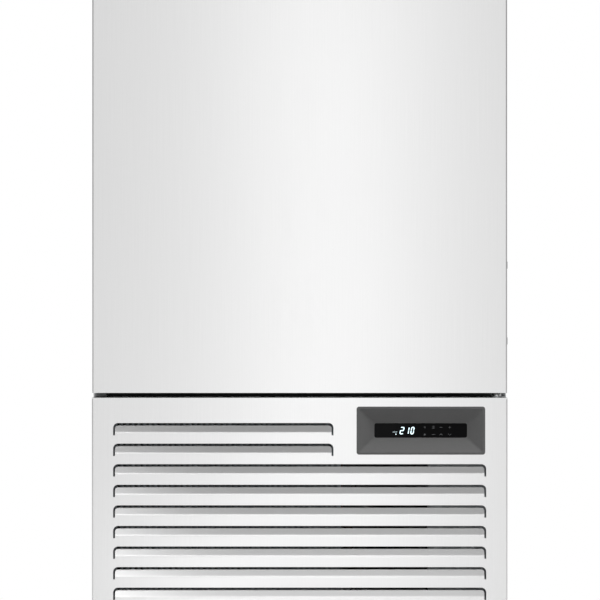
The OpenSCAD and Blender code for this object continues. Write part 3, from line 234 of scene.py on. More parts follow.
# ---------- legs ----------
# Four stainless tubes under welded plates, with screw feet turned from bar. The tube is polished
# round its girth; the foot's pad and collar keep fine turning rings.

# Points of a CAD mesh this close are one point, and folds steeper than this get a rounded edge
same_point = 0.01 * MM
sharp_corner = math.radians(40)


def dress(material, *names, edge=0):
    """Gives CAD nodes a material; edge is the rounding of their corners in millimetres."""
    for name in names:
        piece = nodes[name]
        piece.data.materials.clear()
        piece.data.materials.append(material)
        if edge:
            weld = piece.modifiers.new("weld", "WELD")
            weld.merge_threshold = same_point
            bevel = piece.modifiers.new("edges", "BEVEL")
            bevel.width = edge * MM
            bevel.segments = 2
            bevel.limit_method = "ANGLE"
            bevel.angle_limit = sharp_corner


def brushed_sheet(name, tones, grain, roughness):
    """Stainless sheet, ground with a belt: grain gives the scale of its scratches along X, Y and Z."""
    material, tree, shader = new_finish(name, metallic=1.0)
    place = add_node(tree, "TexCoord")
    stretched = add_node(tree, "Mapping", {"Scale": grain}, {"Vector": place.outputs["Object"]})
    scratches = add_node(
        tree,
        "TexNoise",
        {"Scale": 1.0, "Detail": 4.0, "Roughness": 0.65},
        {"Vector": stretched.outputs[0]},
    )
    patches = add_node(
        tree, "TexNoise", {"Scale": 2.3, "Detail": 2.0}, {"Vector": place.outputs["Object"]}
    )
    both = add_node(
        tree,
        "Math",
        {"operation": "MULTIPLY_ADD", 1: 0.35},
        {0: patches.outputs["Fac"], 2: scratches.outputs["Fac"]},
    )
    tone = add_node(tree, "ValToRGB", {"stops": tones}, {"Fac": both.outputs[0]})
    tree.links.new(tone.outputs[0], shader.inputs["Base Color"])
    rough = add_node(
        tree,
        "MapRange",
        {"From Min": 0.3, "From Max": 1.0, "To Min": roughness - 0.04, "To Max": roughness + 0.05},
        {"Value": both.outputs[0]},
    )
    tree.links.new(rough.outputs[0], shader.inputs["Roughness"])
    bump = add_node(
        tree,
        "Bump",
        {"Strength": 0.25, "Distance": 0.03 * MM},
        {"Height": scratches.outputs["Fac"]},
    )
    tree.links.new(bump.outputs[0], shader.inputs["Normal"])
    return material


# Real belt scratches are 0.1 mm apart; these are 1.5 mm apart, so that they show at all
stainless_tones = [(0.35, "#DEDEDE"), (0.95, "#E4E4E4")]
upright_grain = brushed_sheet("stainless_upright_grain", stainless_tones, (650, 650, 5), 0.3)
girth_grain = brushed_sheet("stainless_tube_polish", stainless_tones, (30, 30, 900), 0.26)
dress(girth_grain, "leg_sleeves", edge=0.4)

turned_steel, tree, shader = new_finish("turned_steel", metallic=1.0, roughness=0.34)
place = add_node(tree, "TexCoord")
rings = add_node(
    tree, "Mapping", {"Scale": (40, 40, 1400)}, {"Vector": place.outputs["Object"]}
)
ring_noise = add_node(tree, "TexNoise", {"Scale": 1.0, "Detail": 3.0}, {"Vector": rings.outputs[0]})
ring_tone = add_node(
    tree, "ValToRGB", {"stops": [(0.35, "#A9ABAC"), (0.65, "#C6C8C9")]}, {"Fac": ring_noise.outputs[0]}
)
tree.links.new(ring_tone.outputs[0], shader.inputs["Base Color"])
ring_bump = add_node(
    tree, "Bump", {"Strength": 0.4, "Distance": 0.03 * MM}, {"Height": ring_noise.outputs[0]}
)
tree.links.new(ring_bump.outputs[0], shader.inputs["Normal"])
dress(
    turned_steel,
    "foot_front_left",
    "foot_front_right",
    "foot_rear_left",
    "foot_rear_right",
    edge=0.8,
)

# ---------- machine frame ----------
# Base pan, corner posts, deck, back and the sheets inside are hot-dip galvanised: matt grey with
# the faint crystal spangle of the zinc, 8 to 15 mm across.
galvanised, tree, shader = new_finish("galvanised_sheet", metallic=1.0)
place = add_node(tree, "TexCoord")
crystals = add_node(tree, "TexVoronoi", {"Scale": 90.0}, {"Vector": place.outputs["Object"]})
crystal_tone = add_node(tree, "SeparateColor", links={0: crystals.outputs["Color"]})
zinc = add_node(
    tree,
    "ValToRGB",
    {"stops": [(0.0, "#A3A7AA"), (0.5, "#B0B4B6"), (1.0, "#BCBFC1")]},
    {"Fac": crystal_tone.outputs[0]},
)
tree.links.new(zinc.outputs[0], shader.inputs["Base Color"])
zinc_rough = add_node(
    tree, "MapRange", {"To Min": 0.42, "To Max": 0.58}, {"Value": crystal_tone.outputs[1]}
)
tree.links.new(zinc_rough.outputs[0], shader.inputs["Roughness"])
dress(galvanised, "base_pan", "corner_posts", "front_rail", "floor_pan", "back_panel", edge=0.3)
dress(galvanised, "condenser_shroud", "electrical_box", "evaporator_end_plates", "rear_grille")

# ---------- condenser ----------
# Rolled aluminium fins on copper hairpins, behind the louvres, with an axial fan in a sheet shroud
# that draws the air through. The fins are mill finish and close together; their grey is painted
# darker than bare aluminium, as painted shade that keeps the louvre cuts dark.
fin_metal, tree, shader = new_finish("mill_aluminium_painted_dark", metallic=1.0, roughness=0.5)
place = add_node(tree, "TexCoord")
rolled = add_node(tree, "Mapping", {"Scale": (60, 60, 8)}, {"Vector": place.outputs["Object"]})
rolled_noise = add_node(tree, "TexNoise", {"Scale": 1.0, "Detail": 3.0}, {"Vector": rolled.outputs[0]})
# Painted shade: these greys are darker than bare aluminium, so the louvre cuts read dark
rolled_tone = add_node(
    tree, "ValToRGB", {"stops": [(0.3, "#7E8387"), (0.7, "#989DA0")]}, {"Fac": rolled_noise.outputs[0]}
)
tree.links.new(rolled_tone.outputs[0], shader.inputs["Base Color"])
dress(fin_metal, "condenser_fins", "evaporator_fins")

# Copper tube darkens unevenly, over some 20 mm. The bends are given dark brown, dull tones: painted
# shade, which keeps them from glinting behind the louvre cuts.
for finish, roughness, tones, pieces in (
    (
        "drawn_copper",
        0.33,
        ("#8F5637", "#C07B52", "#D69A72"),
        ("discharge_line", "liquid_line", "suction_line", "filter_drier"),
    ),
    # Painted shade: the coil bends' dark brown tones stand in for shade behind the louvres
    ("dull_copper_painted_shade", 0.6, ("#3E3835", "#4E4640", "#61554C"), ("coil_bends",)),
):
    copper, tree, shader = new_finish(finish, metallic=1.0, roughness=roughness)
    place = add_node(tree, "TexCoord")
    tarnish = add_node(
        tree, "TexNoise", {"Scale": 22.0, "Detail": 5.0}, {"Vector": place.outputs["Object"]}
    )
    copper_tone = add_node(
        tree,
        "ValToRGB",
        {"stops": list(zip((0.3, 0.55, 0.8), tones))},
        {"Fac": tarnish.outputs["Fac"]},
    )
    tree.links.new(copper_tone.outputs[0], shader.inputs["Base Color"])
    dress(copper, *pieces)

# ---------- compressor ----------
# Hermetic compressor and receiver in stove enamel: semi-gloss black over pressed steel, with a
# sprayed coat's slight orange peel. The black is painted lighter, to a mottled dark grey: painted
# light for the shaded compartment seen through the louvre cuts. The compressor stands on waisted
# rubber bushes.
enamel, tree, shader = new_finish(
    "black_stove_enamel", roughness=0.32, coat_weight=0.3, coat_roughness=0.15
)
place = add_node(tree, "TexCoord")
peel = add_node(tree, "TexNoise", {"Scale": 420.0, "Detail": 2.0}, {"Vector": place.outputs["Object"]})
peel_bump = add_node(tree, "Bump", {"Strength": 0.2, "Distance": 0.1 * MM}, {"Height": peel.outputs[0]})
tree.links.new(peel_bump.outputs[0], shader.inputs["Normal"])
dust = add_node(tree, "TexNoise", {"Scale": 9.0, "Detail": 4.0}, {"Vector": place.outputs["Object"]})
# Painted light: these greys lift the black enamel, standing in for light in the shaded compartment
enamel_tone = add_node(
    tree, "ValToRGB", {"stops": [(0.4, "#242628"), (0.8, "#363839")]}, {"Fac": dust.outputs[0]}
)
tree.links.new(enamel_tone.outputs[0], shader.inputs["Base Color"])
dress(enamel, "compressor", "liquid_receiver")

moulded_black, tree, shader = new_finish("moulded_black_abs", "#1B1C1D", roughness=0.5)
place = add_node(tree, "TexCoord")
spark = add_node(tree, "TexNoise", {"Scale": 900.0, "Detail": 2.0}, {"Vector": place.outputs["Object"]})
spark_bump = add_node(
    tree, "Bump", {"Strength": 0.3, "Distance": 0.08 * MM}, {"Height": spark.outputs[0]}
)
tree.links.new(spark_bump.outputs[0], shader.inputs["Normal"])
spark_rough = add_node(
    tree, "MapRange", {"To Min": 0.42, "To Max": 0.62}, {"Value": spark.outputs[0]}
)
tree.links.new(spark_rough.outputs[0], shader.inputs["Roughness"])
dress(moulded_black, "compressor_terminal_box", "control_housing", "cable_glands", edge=0.8)
dress(moulded_black, "wall_spacers", edge=1.5)
dress(moulded_black, "chamber_fan_upper", "chamber_fan_lower", "condenser_fan")
dress(moulded_black, "door_end_caps", "door_plugs")

rubber, tree, shader = new_finish("black_rubber", roughness=0.72)
place = add_node(tree, "TexCoord")
bloom = add_node(tree, "TexNoise", {"Scale": 60.0, "Detail": 6.0}, {"Vector": place.outputs["Object"]})
rubber_tone = add_node(
    tree, "ValToRGB", {"stops": [(0.3, "#191A1B"), (0.75, "#2A2B2C")]}, {"Fac": bloom.outputs[0]}
)
tree.links.new(rubber_tone.outputs[0], shader.inputs["Base Color"])
skin_grain = add_node(tree, "TexNoise", {"Scale": 1500.0}, {"Vector": place.outputs["Object"]})
skin_bump = add_node(
    tree, "Bump", {"Strength": 0.25, "Distance": 0.05 * MM}, {"Height": skin_grain.outputs[0]}
)
tree.links.new(skin_bump.outputs[0], shader.inputs["Normal"])


# Folds flatter than this are shaded smooth
smooth_fold = math.radians(35)


def turned(name, profile, at, sides=32):
    """A round piece standing at a point: extruded ring by ring along radius and height pairs in mm."""
    deselect()
    radius, start = profile[0]
    bpy.ops.mesh.primitive_circle_add(
        vertices=sides,
        radius=radius * MM,
        fill_type="NGON",
        location=Vector(at) + Vector((0, 0, start * MM)),
    )
    piece = bpy.context.object
    piece.name = name
    bpy.ops.object.mode_set(mode="EDIT")
    bpy.ops.mesh.select_all(action="SELECT")
    for wide, high in profile[1:]:
        bpy.ops.mesh.extrude_region_move(
            TRANSFORM_OT_translate={"value": (0, 0, (high - start) * MM)}
        )
        bpy.ops.transform.resize(
            value=(wide / radius, wide / radius, 1),
            center_override=Vector(at) + Vector((0, 0, high * MM)),
        )
        radius, start = wide, high
    bpy.ops.mesh.select_all(action="SELECT")
    bpy.ops.mesh.normals_make_consistent(inside=False)
    bpy.ops.object.mode_set(mode="OBJECT")
    bpy.ops.object.transform_apply(location=True, rotation=True, scale=True)
    bpy.ops.object.shade_smooth_by_angle(angle=smooth_fold)
    return piece


def joined(name, pieces):
    """Joins pieces into one, with its place in its mesh."""
    deselect()
    for piece in pieces:
        piece.select_set(True)
    bpy.context.view_layer.objects.active = pieces[0]
    bpy.ops.object.join()
    pieces[0].name = name
    bpy.ops.object.transform_apply(location=True, rotation=True, scale=True)
    return pieces[0]


def finish_piece(piece, material, body, slot, *replaced):
    """Gives a new piece its material, its body and the CAD nodes that it stands for; slot is not used."""
    piece.data.materials.clear()
    piece.data.materials.append(material)
    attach(piece, body)
    if replaced:
        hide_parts(*replaced)


bush_r = 15 * MM
mounts_low, mounts_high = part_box("compressor_mounts")
mount_places = [
    (x, y, mounts_low.z)
    for x in (mounts_low.x + bush_r, mounts_high.x - bush_r)
    for y in (mounts_low.y + bush_r, mounts_high.y - bush_r)
]
bush_profile = [
    (14.2, 0), (15, 1), (15, 6), (12.2, 10), (12, 17), (12.2, 24), (15, 28), (15, 33), (14.2, 33.9)
]
bushes = [turned("bush", bush_profile, at) for at in mount_places]
finish_piece(
    joined("compressor_bushes", bushes), rubber, "cabinet", "black_rubber", "compressor_mounts"
)
# A bolt's end, from below: shank, washer, nut and chamfered tip
nut_profile = [
    (3.9, 34.1), (3.9, 38.1), (8, 38.2), (8, 39.6), (6.6, 39.7), (6.6, 45), (4, 45.4), (3.9, 46)
]
nuts = [turned("nut", nut_profile, at, sides=12) for at in mount_places]
finish_piece(joined("compressor_bolts", nuts), turned_steel, "cabinet", "screw_steel")

# ---------- valve and pipework ----------
# The expansion valve's body is forged brass, pickled to a grainy skin. The drain pipe and the
# hinges' bushes are moulded in natural nylon, off-white and a little cloudy.
brass, tree, shader = new_finish("forged_brass", metallic=1.0, roughness=0.36)
place = add_node(tree, "TexCoord")
cast = add_node(tree, "TexNoise", {"Scale": 120.0, "Detail": 4.0}, {"Vector": place.outputs["Object"]})
brass_tone = add_node(
    tree, "ValToRGB", {"stops": [(0.3, "#A98845"), (0.7, "#CDAE66")]}, {"Fac": cast.outputs[0]}
)
tree.links.new(brass_tone.outputs[0], shader.inputs["Base Color"])
dress(brass, "expansion_valve", edge=0.5)

nylon, tree, shader = new_finish("moulded_nylon", roughness=0.42, subsurface_weight=0.1)
place = add_node(tree, "TexCoord")
flow = add_node(tree, "TexNoise", {"Scale": 45.0, "Detail": 3.0}, {"Vector": place.outputs["Object"]})
nylon_tone = add_node(
    tree, "ValToRGB", {"stops": [(0.3, "#CFCFC8"), (0.7, "#DBDBD6")]}, {"Fac": flow.outputs[0]}
)
tree.links.new(nylon_tone.outputs[0], shader.inputs["Base Color"])
dress(nylon, "drain_pipe", "hinge_bushes")

# ---------- insulation ----------
# Polyurethane foamed in place between the sheets and in the door: straw yellow, with open cells
# where it is cut.
foam, tree, shader = new_finish("polyurethane_foam", roughness=0.9)
place = add_node(tree, "TexCoord")
cells = add_node(tree, "TexVoronoi", {"Scale": 500.0}, {"Vector": place.outputs["Object"]})
foam_tone = add_node(
    tree, "ValToRGB", {"stops": [(0.0, "#D8C37C"), (0.6, "#E8D795")]}, {"Fac": cells.outputs["Distance"]}
)
tree.links.new(foam_tone.outputs[0], shader.inputs["Base Color"])
cell_bump = add_node(
    tree, "Bump", {"Strength": 0.5, "Distance": 0.3 * MM}, {"Height": cells.outputs["Distance"]}
)
tree.links.new(cell_bump.outputs[0], shader.inputs["Normal"])
dress(foam, "foam_insulation", "door_core")

# ---------- cabinet shell ----------
# Outer sheets in belt-ground stainless, grain upright on the sides and the frame round the mouth,
# and running from front to back on the top.
lengthways_grain = brushed_sheet("stainless_lengthways_grain", stainless_tones, (650, 5, 650), 0.3)
dress(upright_grain, "side_panel_left", "side_panel_right", "front_frame")
dress(lengthways_grain, "top_panel", edge=0.5)

# ---------- chamber ----------
# Cold-rolled stainless, smooth and a little cloudy, for everything that food or water may touch.
# Racks and fan panel are folded from the same sheet; the fan guards are bright welded wire.
chamber_sheet, tree, shader = new_finish("cold_rolled_stainless", metallic=1.0)
place = add_node(tree, "TexCoord")
cloud = add_node(tree, "TexNoise", {"Scale": 7.0, "Detail": 5.0}, {"Vector": place.outputs["Object"]})
pickled = add_node(tree, "TexNoise", {"Scale": 700.0}, {"Vector": place.outputs["Object"]})
cloud_tone = add_node(
    tree, "ValToRGB", {"stops": [(0.3, "#CCCECF"), (0.7, "#DADCDC")]}, {"Fac": cloud.outputs[0]}
)
tree.links.new(cloud_tone.outputs[0], shader.inputs["Base Color"])
cloud_rough = add_node(
    tree, "MapRange", {"To Min": 0.24, "To Max": 0.38}, {"Value": cloud.outputs[0]}
)
tree.links.new(cloud_rough.outputs[0], shader.inputs["Roughness"])
pickled_bump = add_node(
    tree, "Bump", {"Strength": 0.12, "Distance": 0.02 * MM}, {"Height": pickled.outputs[0]}
)
tree.links.new(pickled_bump.outputs[0], shader.inputs["Normal"])
dress(
    chamber_sheet,
    "inner_liner",
    "rack_uprights",
    "tray_runners",
    "fan_panel",
    "drip_pan",
    "evaporation_tray",
    "door_liner",
)

wire, tree, shader = new_finish("bright_wire", metallic=1.0)
place = add_node(tree, "TexCoord")
plating = add_node(tree, "TexNoise", {"Scale": 80.0}, {"Vector": place.outputs["Object"]})
wire_tone = add_node(
    tree, "ValToRGB", {"stops": [(0.3, "#CFD1D3"), (0.7, "#E2E4E5")]}, {"Fac": plating.outputs[0]}
)
tree.links.new(wire_tone.outputs[0], shader.inputs["Base Color"])
wire_rough = add_node(tree, "MapRange", {"To Min": 0.12, "To Max": 0.24}, {"Value": plating.outputs[0]})
tree.links.new(wire_rough.outputs[0], shader.inputs["Roughness"])
dress(wire, "chamber_fan_guards")
dress(galvanised, "fan_motors")

# ---------- louvred panel ----------
# One folded stainless sheet with nine rows of louvres cut on three sides and pushed in. A strip of
# dark closed-cell foam behind its top edge keeps draughts off the door's gasket.
dress(upright_grain, "louvred_panel")

closed_cell, tree, shader = new_finish("closed_cell_foam", roughness=0.95)
place = add_node(tree, "TexCoord")
pores = add_node(tree, "TexVoronoi", {"Scale": 900.0}, {"Vector": place.outputs["Object"]})
pore_tone = add_node(
    tree, "ValToRGB", {"stops": [(0.0, "#4A4A4B"), (0.6, "#626263")]}, {"Fac": pores.outputs["Distance"]}
)
tree.links.new(pore_tone.outputs[0], shader.inputs["Base Color"])
pore_bump = add_node(
    tree, "Bump", {"Strength": 0.6, "Distance": 0.2 * MM}, {"Height": pores.outputs["Distance"]}
)
tree.links.new(pore_bump.outputs[0], shader.inputs["Normal"])


def soft_block(name, low, high, rounding):
    """A block between two corners with all its edges rounded."""
    deselect()
    bpy.ops.mesh.primitive_cube_add(size=1, location=(low + high) / 2)
    piece = bpy.context.object
    piece.name = name
    piece.dimensions = high - low
    bpy.ops.object.transform_apply(location=True, rotation=True, scale=True)
    bpy.ops.object.mode_set(mode="EDIT")
    bpy.ops.mesh.select_all(action="SELECT")
    bpy.ops.mesh.bevel(offset=rounding, segments=4, affect="EDGES")
    bpy.ops.object.mode_set(mode="OBJECT")
    bpy.ops.object.shade_smooth_by_angle(angle=smooth_fold)
    return piece


sill_low, sill_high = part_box("sill_seal")
end_w = 24 * MM
foam_t = 4 * MM
strip = soft_block(
    "sill_foam_strip",
    Vector((sill_low.x + end_w, sill_high.y - foam_t, sill_low.z)),
    sill_high,
    1.3 * MM,
)
finish_piece(strip, closed_cell, "cabinet", "black_rubber", "sill_seal")

# Its end at the handle side, and the door's grip channel, are pale grey PVC, extruded upright
grey_pvc, tree, shader = new_finish("extruded_grey_pvc", roughness=0.42)
place = add_node(tree, "TexCoord")
drawn = add_node(tree, "Mapping", {"Scale": (900, 900, 3)}, {"Vector": place.outputs["Object"]})
drawn_noise = add_node(tree, "TexNoise", {"Scale": 1.0, "Detail": 2.0}, {"Vector": drawn.outputs[0]})
drawn_tone = add_node(
    tree, "ValToRGB", {"stops": [(0.3, "#C8CACB"), (0.7, "#D4D6D7")]}, {"Fac": drawn_noise.outputs[0]}
)
tree.links.new(drawn_tone.outputs[0], shader.inputs["Base Color"])
drawn_bump = add_node(
    tree, "Bump", {"Strength": 0.3, "Distance": 0.05 * MM}, {"Height": drawn_noise.outputs[0]}
)
tree.links.new(drawn_bump.outputs[0], shader.inputs["Normal"])
strip_end = soft_block(
    "sill_strip_end", sill_low, Vector((sill_low.x + end_w, sill_high.y, sill_high.z)), 1.6 * MM
)
finish_piece(strip_end, grey_pvc, "cabinet", "grip_plastic")

# ---------- control panel ----------
# A moulded ABS bezel, dished on four sides down to a smoked window. Behind the window a lit display
# shows a temperature, beside two rows of touch keys with faint printed symbols.
bezel_abs, tree, shader = new_finish("moulded_grey_abs", roughness=0.55, specular_ior_level=0.15)
place = add_node(tree, "TexCoord")
satin = add_node(tree, "TexNoise", {"Scale": 1100.0, "Detail": 2.0}, {"Vector": place.outputs["Object"]})
satin_tone = add_node(
    tree, "ValToRGB", {"stops": [(0.3, "#585858"), (0.7, "#626262")]}, {"Fac": satin.outputs[0]}
)
tree.links.new(satin_tone.outputs[0], shader.inputs["Base Color"])
satin_bump = add_node(
    tree, "Bump", {"Strength": 0.25, "Distance": 0.05 * MM}, {"Height": satin.outputs[0]}
)
tree.links.new(satin_bump.outputs[0], shader.inputs["Normal"])
dress(bezel_abs, "control_bezel", edge=0.5)

smoked, tree, shader = new_finish(
    "smoked_acrylic", "#050506", roughness=0.08, ior=1.49, specular_ior_level=0.05
)
place = add_node(tree, "TexCoord")
wiped = add_node(tree, "TexNoise", {"Scale": 30.0, "Detail": 4.0}, {"Vector": place.outputs["Object"]})
wiped_rough = add_node(tree, "MapRange", {"To Min": 0.05, "To Max": 0.14}, {"Value": wiped.outputs[0]})
tree.links.new(wiped_rough.outputs[0], shader.inputs["Roughness"])
dress(smoked, "control_window")

window_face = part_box("control_window")[0].y
bar_t = 0.2 * MM
# Light from the diodes spreads unevenly through the segments, over some 3 mm
lit, tree, shader = new_finish("lit_segments", "#DDF4FA", roughness=0.6, emission_strength=0.95)
place = add_node(tree, "TexCoord")
spread = add_node(tree, "TexNoise", {"Scale": 330.0, "Detail": 1.0}, {"Vector": place.outputs["Object"]})
glow = add_node(
    tree, "ValToRGB", {"stops": [(0.3, "#CFEAF2"), (0.65, "#ECFDFF")]}, {"Fac": spread.outputs[0]}
)
tree.links.new(glow.outputs[0], shader.inputs["Emission Color"])
# Screen-printed ink is a little thin in places
printed, tree, shader = new_finish("printed_symbols", roughness=0.6)
place = add_node(tree, "TexCoord")
ink = add_node(tree, "TexNoise", {"Scale": 700.0, "Detail": 2.0}, {"Vector": place.outputs["Object"]})
ink_tone = add_node(
    tree, "ValToRGB", {"stops": [(0.35, "#545557"), (0.6, "#646567")]}, {"Fac": ink.outputs[0]}
)
tree.links.new(ink_tone.outputs[0], shader.inputs["Base Color"])


def flat_bar(across, up, x, z, turn=0, sides=6):
    """A thin bar lying on the window, pointed at its ends when it has six sides; sizes in mm."""
    deselect()
    bpy.ops.mesh.primitive_cylinder_add(
        vertices=sides, radius=0.5, depth=bar_t, rotation=(math.radians(90), 0, 0)
    )
    bar = bpy.context.object
    bpy.ops.object.transform_apply(location=True, rotation=True, scale=True)
    bar.dimensions = (across * MM, bar_t, up * MM)
    bpy.ops.object.transform_apply(location=True, rotation=True, scale=True)
    tilt = Matrix.Rotation(math.radians(turn), 4, "Y")
    bar.data.transform(Matrix.Translation((x * MM, window_face - bar_t / 2, z * MM)) @ tilt)
    return bar


digit_h = 14.7
stroke = 2.3
# Upright bars end a little short of their corner, and level ones reach a little into it
upright_share, level_share = 0.97, 1.02
segments = {"2": "abged", "1": "bc", "0": "abcdef"}


def digit(figure, x0, wide, z0):
    """The lit bars of one seven-segment figure, whose lower left corner is at x0, z0 in mm."""
    half = (digit_h - stroke) / 2
    centre = x0 + wide / 2
    across = wide - stroke
    bars = {
        "a": (centre, z0 + digit_h - stroke / 2, 0),
        "g": (centre, z0 + digit_h / 2, 0),
        "d": (centre, z0 + stroke / 2, 0),
        "f": (x0 + stroke / 2, z0 + digit_h * 0.75 - stroke / 4, 90),
        "b": (x0 + wide - stroke / 2, z0 + digit_h * 0.75 - stroke / 4, 90),
        "e": (x0 + stroke / 2, z0 + digit_h * 0.25 + stroke / 4, 90),
        "c": (x0 + wide - stroke / 2, z0 + digit_h * 0.25 + stroke / 4, 90),
    }
    made = []
    for name in segments[figure]:
        x, z, turn = bars[name]
        length = half * upright_share if turn else across * level_share
        made.append(flat_bar(length, stroke, x, z, turn))
    return made


# The figures lean to the right, as on such displays: left edge and width of each, in mm
figures_z = 485.2
figures_slant = 0.17
figure_places = {"2": (191.8, 8.4), "1": (202.4, 7.6), "0": (212.5, 7.0)}
dot = flat_bar(2.1, 2.1, 185.4, 485.5, sides=16)
dashes = [flat_bar(2.6, 0.7, x, 489.9) for x in (179.6, 182.7, 185.8)]
bars = [dot] + dashes
for figure, (x0, wide) in figure_places.items():
    bars += digit(figure, x0, wide, figures_z)
figures = joined("display_figures", bars)
for vertex in figures.data.vertices:
    vertex.co.x += figures_slant * (vertex.co.z - figures_z * MM)
finish_piece(figures, lit, "cabinet", "smoked_window")

# Plain signs on the touch keys, in four columns and two rows: star, lines, bar and cross above,
# dot, bar and two angles below
key_columns = (241.0, 257.8, 272.4, 289.1)
upper, lower = 499.0, 485.0
marks = [flat_bar(6.6, 1.0, key_columns[0], upper, turn, sides=4) for turn in (0, 60, 120)]
marks += [flat_bar(7.2, 1.0, key_columns[1], upper + z, 0, sides=4) for z in (-2, 0, 2)]
marks += [flat_bar(7.4, 1.2, key_columns[2], upper, 0, sides=4)]
marks += [flat_bar(6.4, 1.2, key_columns[3], upper, turn, sides=4) for turn in (0, 90)]
marks += [flat_bar(3.4, 3.4, key_columns[0], lower, 0, sides=16)]
marks += [flat_bar(8.0, 1.2, key_columns[1], lower, 0, sides=4)]
for column, lean in ((key_columns[2], 45), (key_columns[3], -45)):
    marks += [
        flat_bar(5.0, 1.2, column + side * 1.6, lower, side * lean, sides=4) for side in (-1, 1)
    ]
finish_piece(joined("touch_key_symbols", marks), printed, "cabinet", "smoked_window")

# ---------- hinges ----------
# Pressed steel brackets with riveted pins, on which the door's nylon bushes turn. The brackets are
# tumbled and plated grey, painted darker as painted shade of the recess under the door. The pins
# and their collars are turned bright, their paler tone partly a painted highlight.
collar_reach = 10.2 * MM
bushes_low, bushes_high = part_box("hinge_bushes")
pin_axis = (bushes_low + bushes_high) / 2
plated_steel, tree, shader = new_finish("plated_hinge_steel", metallic=1.0)
place = add_node(tree, "TexCoord")
tumbled = add_node(tree, "TexNoise", {"Scale": 140.0, "Detail": 4.0}, {"Vector": place.outputs["Object"]})
from_axis = add_node(
    tree,
    "Mapping",
    {"Location": (-pin_axis.x, -pin_axis.y, 0), "Scale": (1, 1, 0)},
    {"Vector": place.outputs["Object"]},
)
reach = add_node(tree, "VectorMath", {"operation": "LENGTH"}, {0: from_axis.outputs[0]})
on_bracket = add_node(
    tree, "Math", {"operation": "GREATER_THAN", 1: collar_reach}, {0: reach.outputs["Value"]}
)
# Painted shade on the bracket and a painted highlight on the collar, split by distance from the pin's
# axis
plated_tone = add_node(
    tree, "ValToRGB", {"stops": [(0.3, "#929496"), (0.7, "#A0A2A3")]}, {"Fac": tumbled.outputs[0]}
)
turned_tone = add_node(
    tree, "ValToRGB", {"stops": [(0.3, "#E4E5E5"), (0.7, "#EEEEEE")]}, {"Fac": tumbled.outputs[0]}
)
hinge_tone = add_node(
    tree,
    "Mix",
    {"data_type": "RGBA"},
    {0: on_bracket.outputs[0], 6: turned_tone.outputs[0], 7: plated_tone.outputs[0]},
)
tree.links.new(hinge_tone.outputs[2], shader.inputs["Base Color"])
tumbled_rough = add_node(
    tree, "MapRange", {"To Min": 0.2, "To Max": 0.3}, {"Value": tumbled.outputs[0]}
)
hinge_rough = add_node(
    tree,
    "Math",
    {"operation": "MULTIPLY_ADD", 1: 0.18},
    {0: on_bracket.outputs[0], 2: tumbled_rough.outputs[0]},
)
tree.links.new(hinge_rough.outputs[0], shader.inputs["Roughness"])
dress(plated_steel, "hinge_brackets", edge=0.5)

# ---------- door ----------
# A stainless skin folded round a foamed core, with an extruded grip channel let into its left edge
# and a magnetic gasket, two ribs and a hollow bulb, pressed into the inner panel's edge.
dress(upright_grain, "door_skin")
dress(grey_pvc, "door_handle", edge=0.6)

gasket_low, gasket_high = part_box("door_gasket")
# Inset steps that draw the gasket's section from its outer edge inwards: inwards and up, in mm
gasket_steps = [
    (0.05, 2.4), (0.9, 0.8), (3.4, 0), (0.9, -1.4), (0.1, 6.2), (0.8, 2.5), (1.6, 1.1), (9.5, 0.05),
    (1.6, -1.1), (0.8, -2.5), (0.1, -6.2), (0.9, 1.4), (2.3, 0), (0.9, -0.8), (0.05, -2.45),
]
deselect()
bpy.ops.mesh.primitive_plane_add(
    size=1,
    location=(0, gasket_low.y, (gasket_low.z + gasket_high.z) / 2),
    rotation=(math.radians(-90), 0, 0),
)
gasket = bpy.context.object
gasket.name = "door_gasket_profile"
gasket.scale = (gasket_high.x - gasket_low.x, gasket_high.z - gasket_low.z, 1)
bpy.ops.object.transform_apply(location=True, rotation=True, scale=True)
bpy.ops.object.mode_set(mode="EDIT")
bpy.ops.mesh.select_all(action="SELECT")
for inwards, rise in gasket_steps:
    bpy.ops.mesh.inset(thickness=inwards * MM, depth=rise * MM)
bpy.ops.mesh.delete(type="FACE")
bpy.ops.mesh.select_all(action="DESELECT")
bpy.ops.mesh.select_mode(type="EDGE")
bpy.ops.mesh.select_non_manifold()
bpy.ops.mesh.bridge_edge_loops()
bpy.ops.mesh.select_all(action="SELECT")
bpy.ops.mesh.normals_make_consistent(inside=False)
bpy.ops.object.mode_set(mode="OBJECT")
bulb_fold = math.radians(50)
bpy.ops.object.shade_smooth_by_angle(angle=bulb_fold)
finish_piece(gasket, rubber, "door", "black_rubber", "door_gasket")

# ---------- screws ----------
# Steel button-head screws, with the driver's small recess drawn round: in the panel's flange, the
# hinge brackets, the fan panel and the rear grille. One is modelled and copied to every place.
head_r, rim_h, shank_r, shank_l = 4.5, 0.5, 2.4, 9.0
# Inset steps over the head, from its rim to the recess's floor: inwards and up, in mm
head_steps = [(0.3, 0.9), (0.8, 0.7), (1.0, 0.4), (0.6, 0.1), (0.3, -0.2), (0.05, -1.2)]
# A face whose normal's upward part passes this lies flat
lies_flat = 0.9
deselect()
bpy.ops.mesh.primitive_cylinder_add(
    vertices=24, radius=head_r * MM, depth=rim_h * MM, location=(0, 0, rim_h / 2 * MM)
)
screw = bpy.context.object
bpy.ops.object.transform_apply(location=True, rotation=True, scale=True)
bpy.ops.object.mode_set(mode="EDIT")
bpy.ops.mesh.select_mode(type="FACE")
bpy.ops.mesh.select_all(action="DESELECT")
bpy.ops.object.mode_set(mode="OBJECT")
for face in screw.data.polygons:
    face.select = face.normal.z > lies_flat
bpy.ops.object.mode_set(mode="EDIT")
for inwards, rise in head_steps:
    bpy.ops.mesh.inset(thickness=inwards * MM, depth=rise * MM)
bpy.ops.mesh.select_all(action="DESELECT")
bpy.ops.object.mode_set(mode="OBJECT")
for face in screw.data.polygons:
    face.select = face.normal.z < -lies_flat and face.center.z < rim_h / 2 * MM
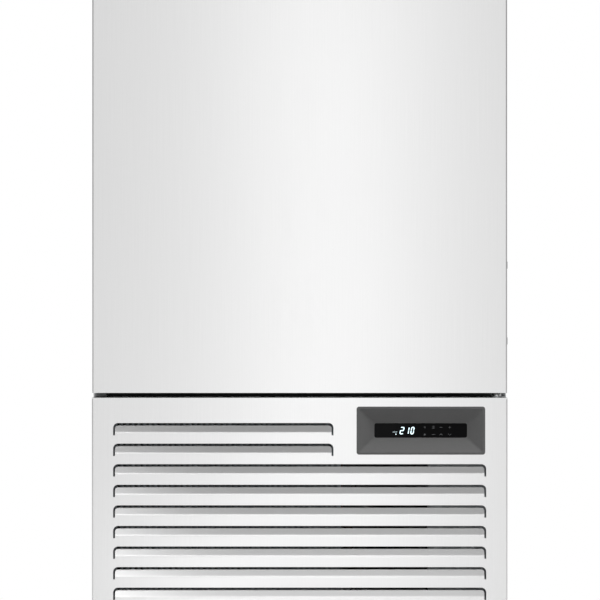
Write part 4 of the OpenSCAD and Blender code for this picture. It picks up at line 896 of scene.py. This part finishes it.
bpy.ops.object.mode_set(mode="EDIT")
bpy.ops.mesh.inset(thickness=(head_r - shank_r) * MM, depth=0)
bpy.ops.mesh.extrude_region_move(TRANSFORM_OT_translate={"value": (0, 0, -shank_l * MM)})
bpy.ops.object.mode_set(mode="OBJECT")
bpy.ops.object.shade_smooth_by_angle(angle=smooth_fold)


def spaced(low, high, count):
    """Evenly spaced places from low to high."""
    return [low + (high - low) * step / (count - 1) for step in range(count)]


facing = {
    "up": Matrix.Identity(4),
    "front": Matrix.Rotation(math.radians(90), 4, "X"),
    "back": Matrix.Rotation(math.radians(-90), 4, "X"),
}
# Rows of screws, each set in from the edges of the piece that it holds: the way they face, and
# where they stand along X, Y and Z
panel_low, panel_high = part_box("louvred_panel")
bracket_low, bracket_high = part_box("hinge_brackets")
bracket_t = 3.5 * MM
fans_low, fans_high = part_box("fan_panel")
grille_low, grille_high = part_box("rear_grille")
screw_rows = {
    "panel_flange": ("up", spaced(-0.25, 0.25, 3), [panel_low.y + 0.036], [panel_high.z]),
    "hinge_brackets": (
        "front",
        [pin_axis.x - 0.0025, pin_axis.x + 0.012],
        [bracket_high.y - bracket_t],
        spaced(bracket_low.z + 0.014, bracket_high.z - 0.014, 2),
    ),
    "fan_panel": (
        "front",
        spaced(fans_low.x + 0.046, fans_high.x - 0.046, 2),
        [fans_low.y],
        spaced(fans_low.z + 0.04, fans_high.z - 0.04, 3),
    ),
    "rear_grille": (
        "back",
        spaced(grille_low.x + 0.016, grille_high.x - 0.016, 2),
        [grille_high.y],
        spaced(grille_low.z + 0.042, grille_high.z - 0.04, 3),
    ),
}
screw_places = [
    (way, at) for way, *along in screw_rows.values() for at in itertools.product(*along)
]
copies = []
for way, at in screw_places:
    copy = screw.copy()
    copy.data = screw.data.copy()
    copy.data.transform(Matrix.Translation(at) @ facing[way])
    bpy.context.scene.collection.objects.link(copy)
    copies.append(copy)
bpy.data.objects.remove(screw)
finish_piece(joined("button_head_screws", copies), turned_steel, "cabinet", "screw_steel", "screws")
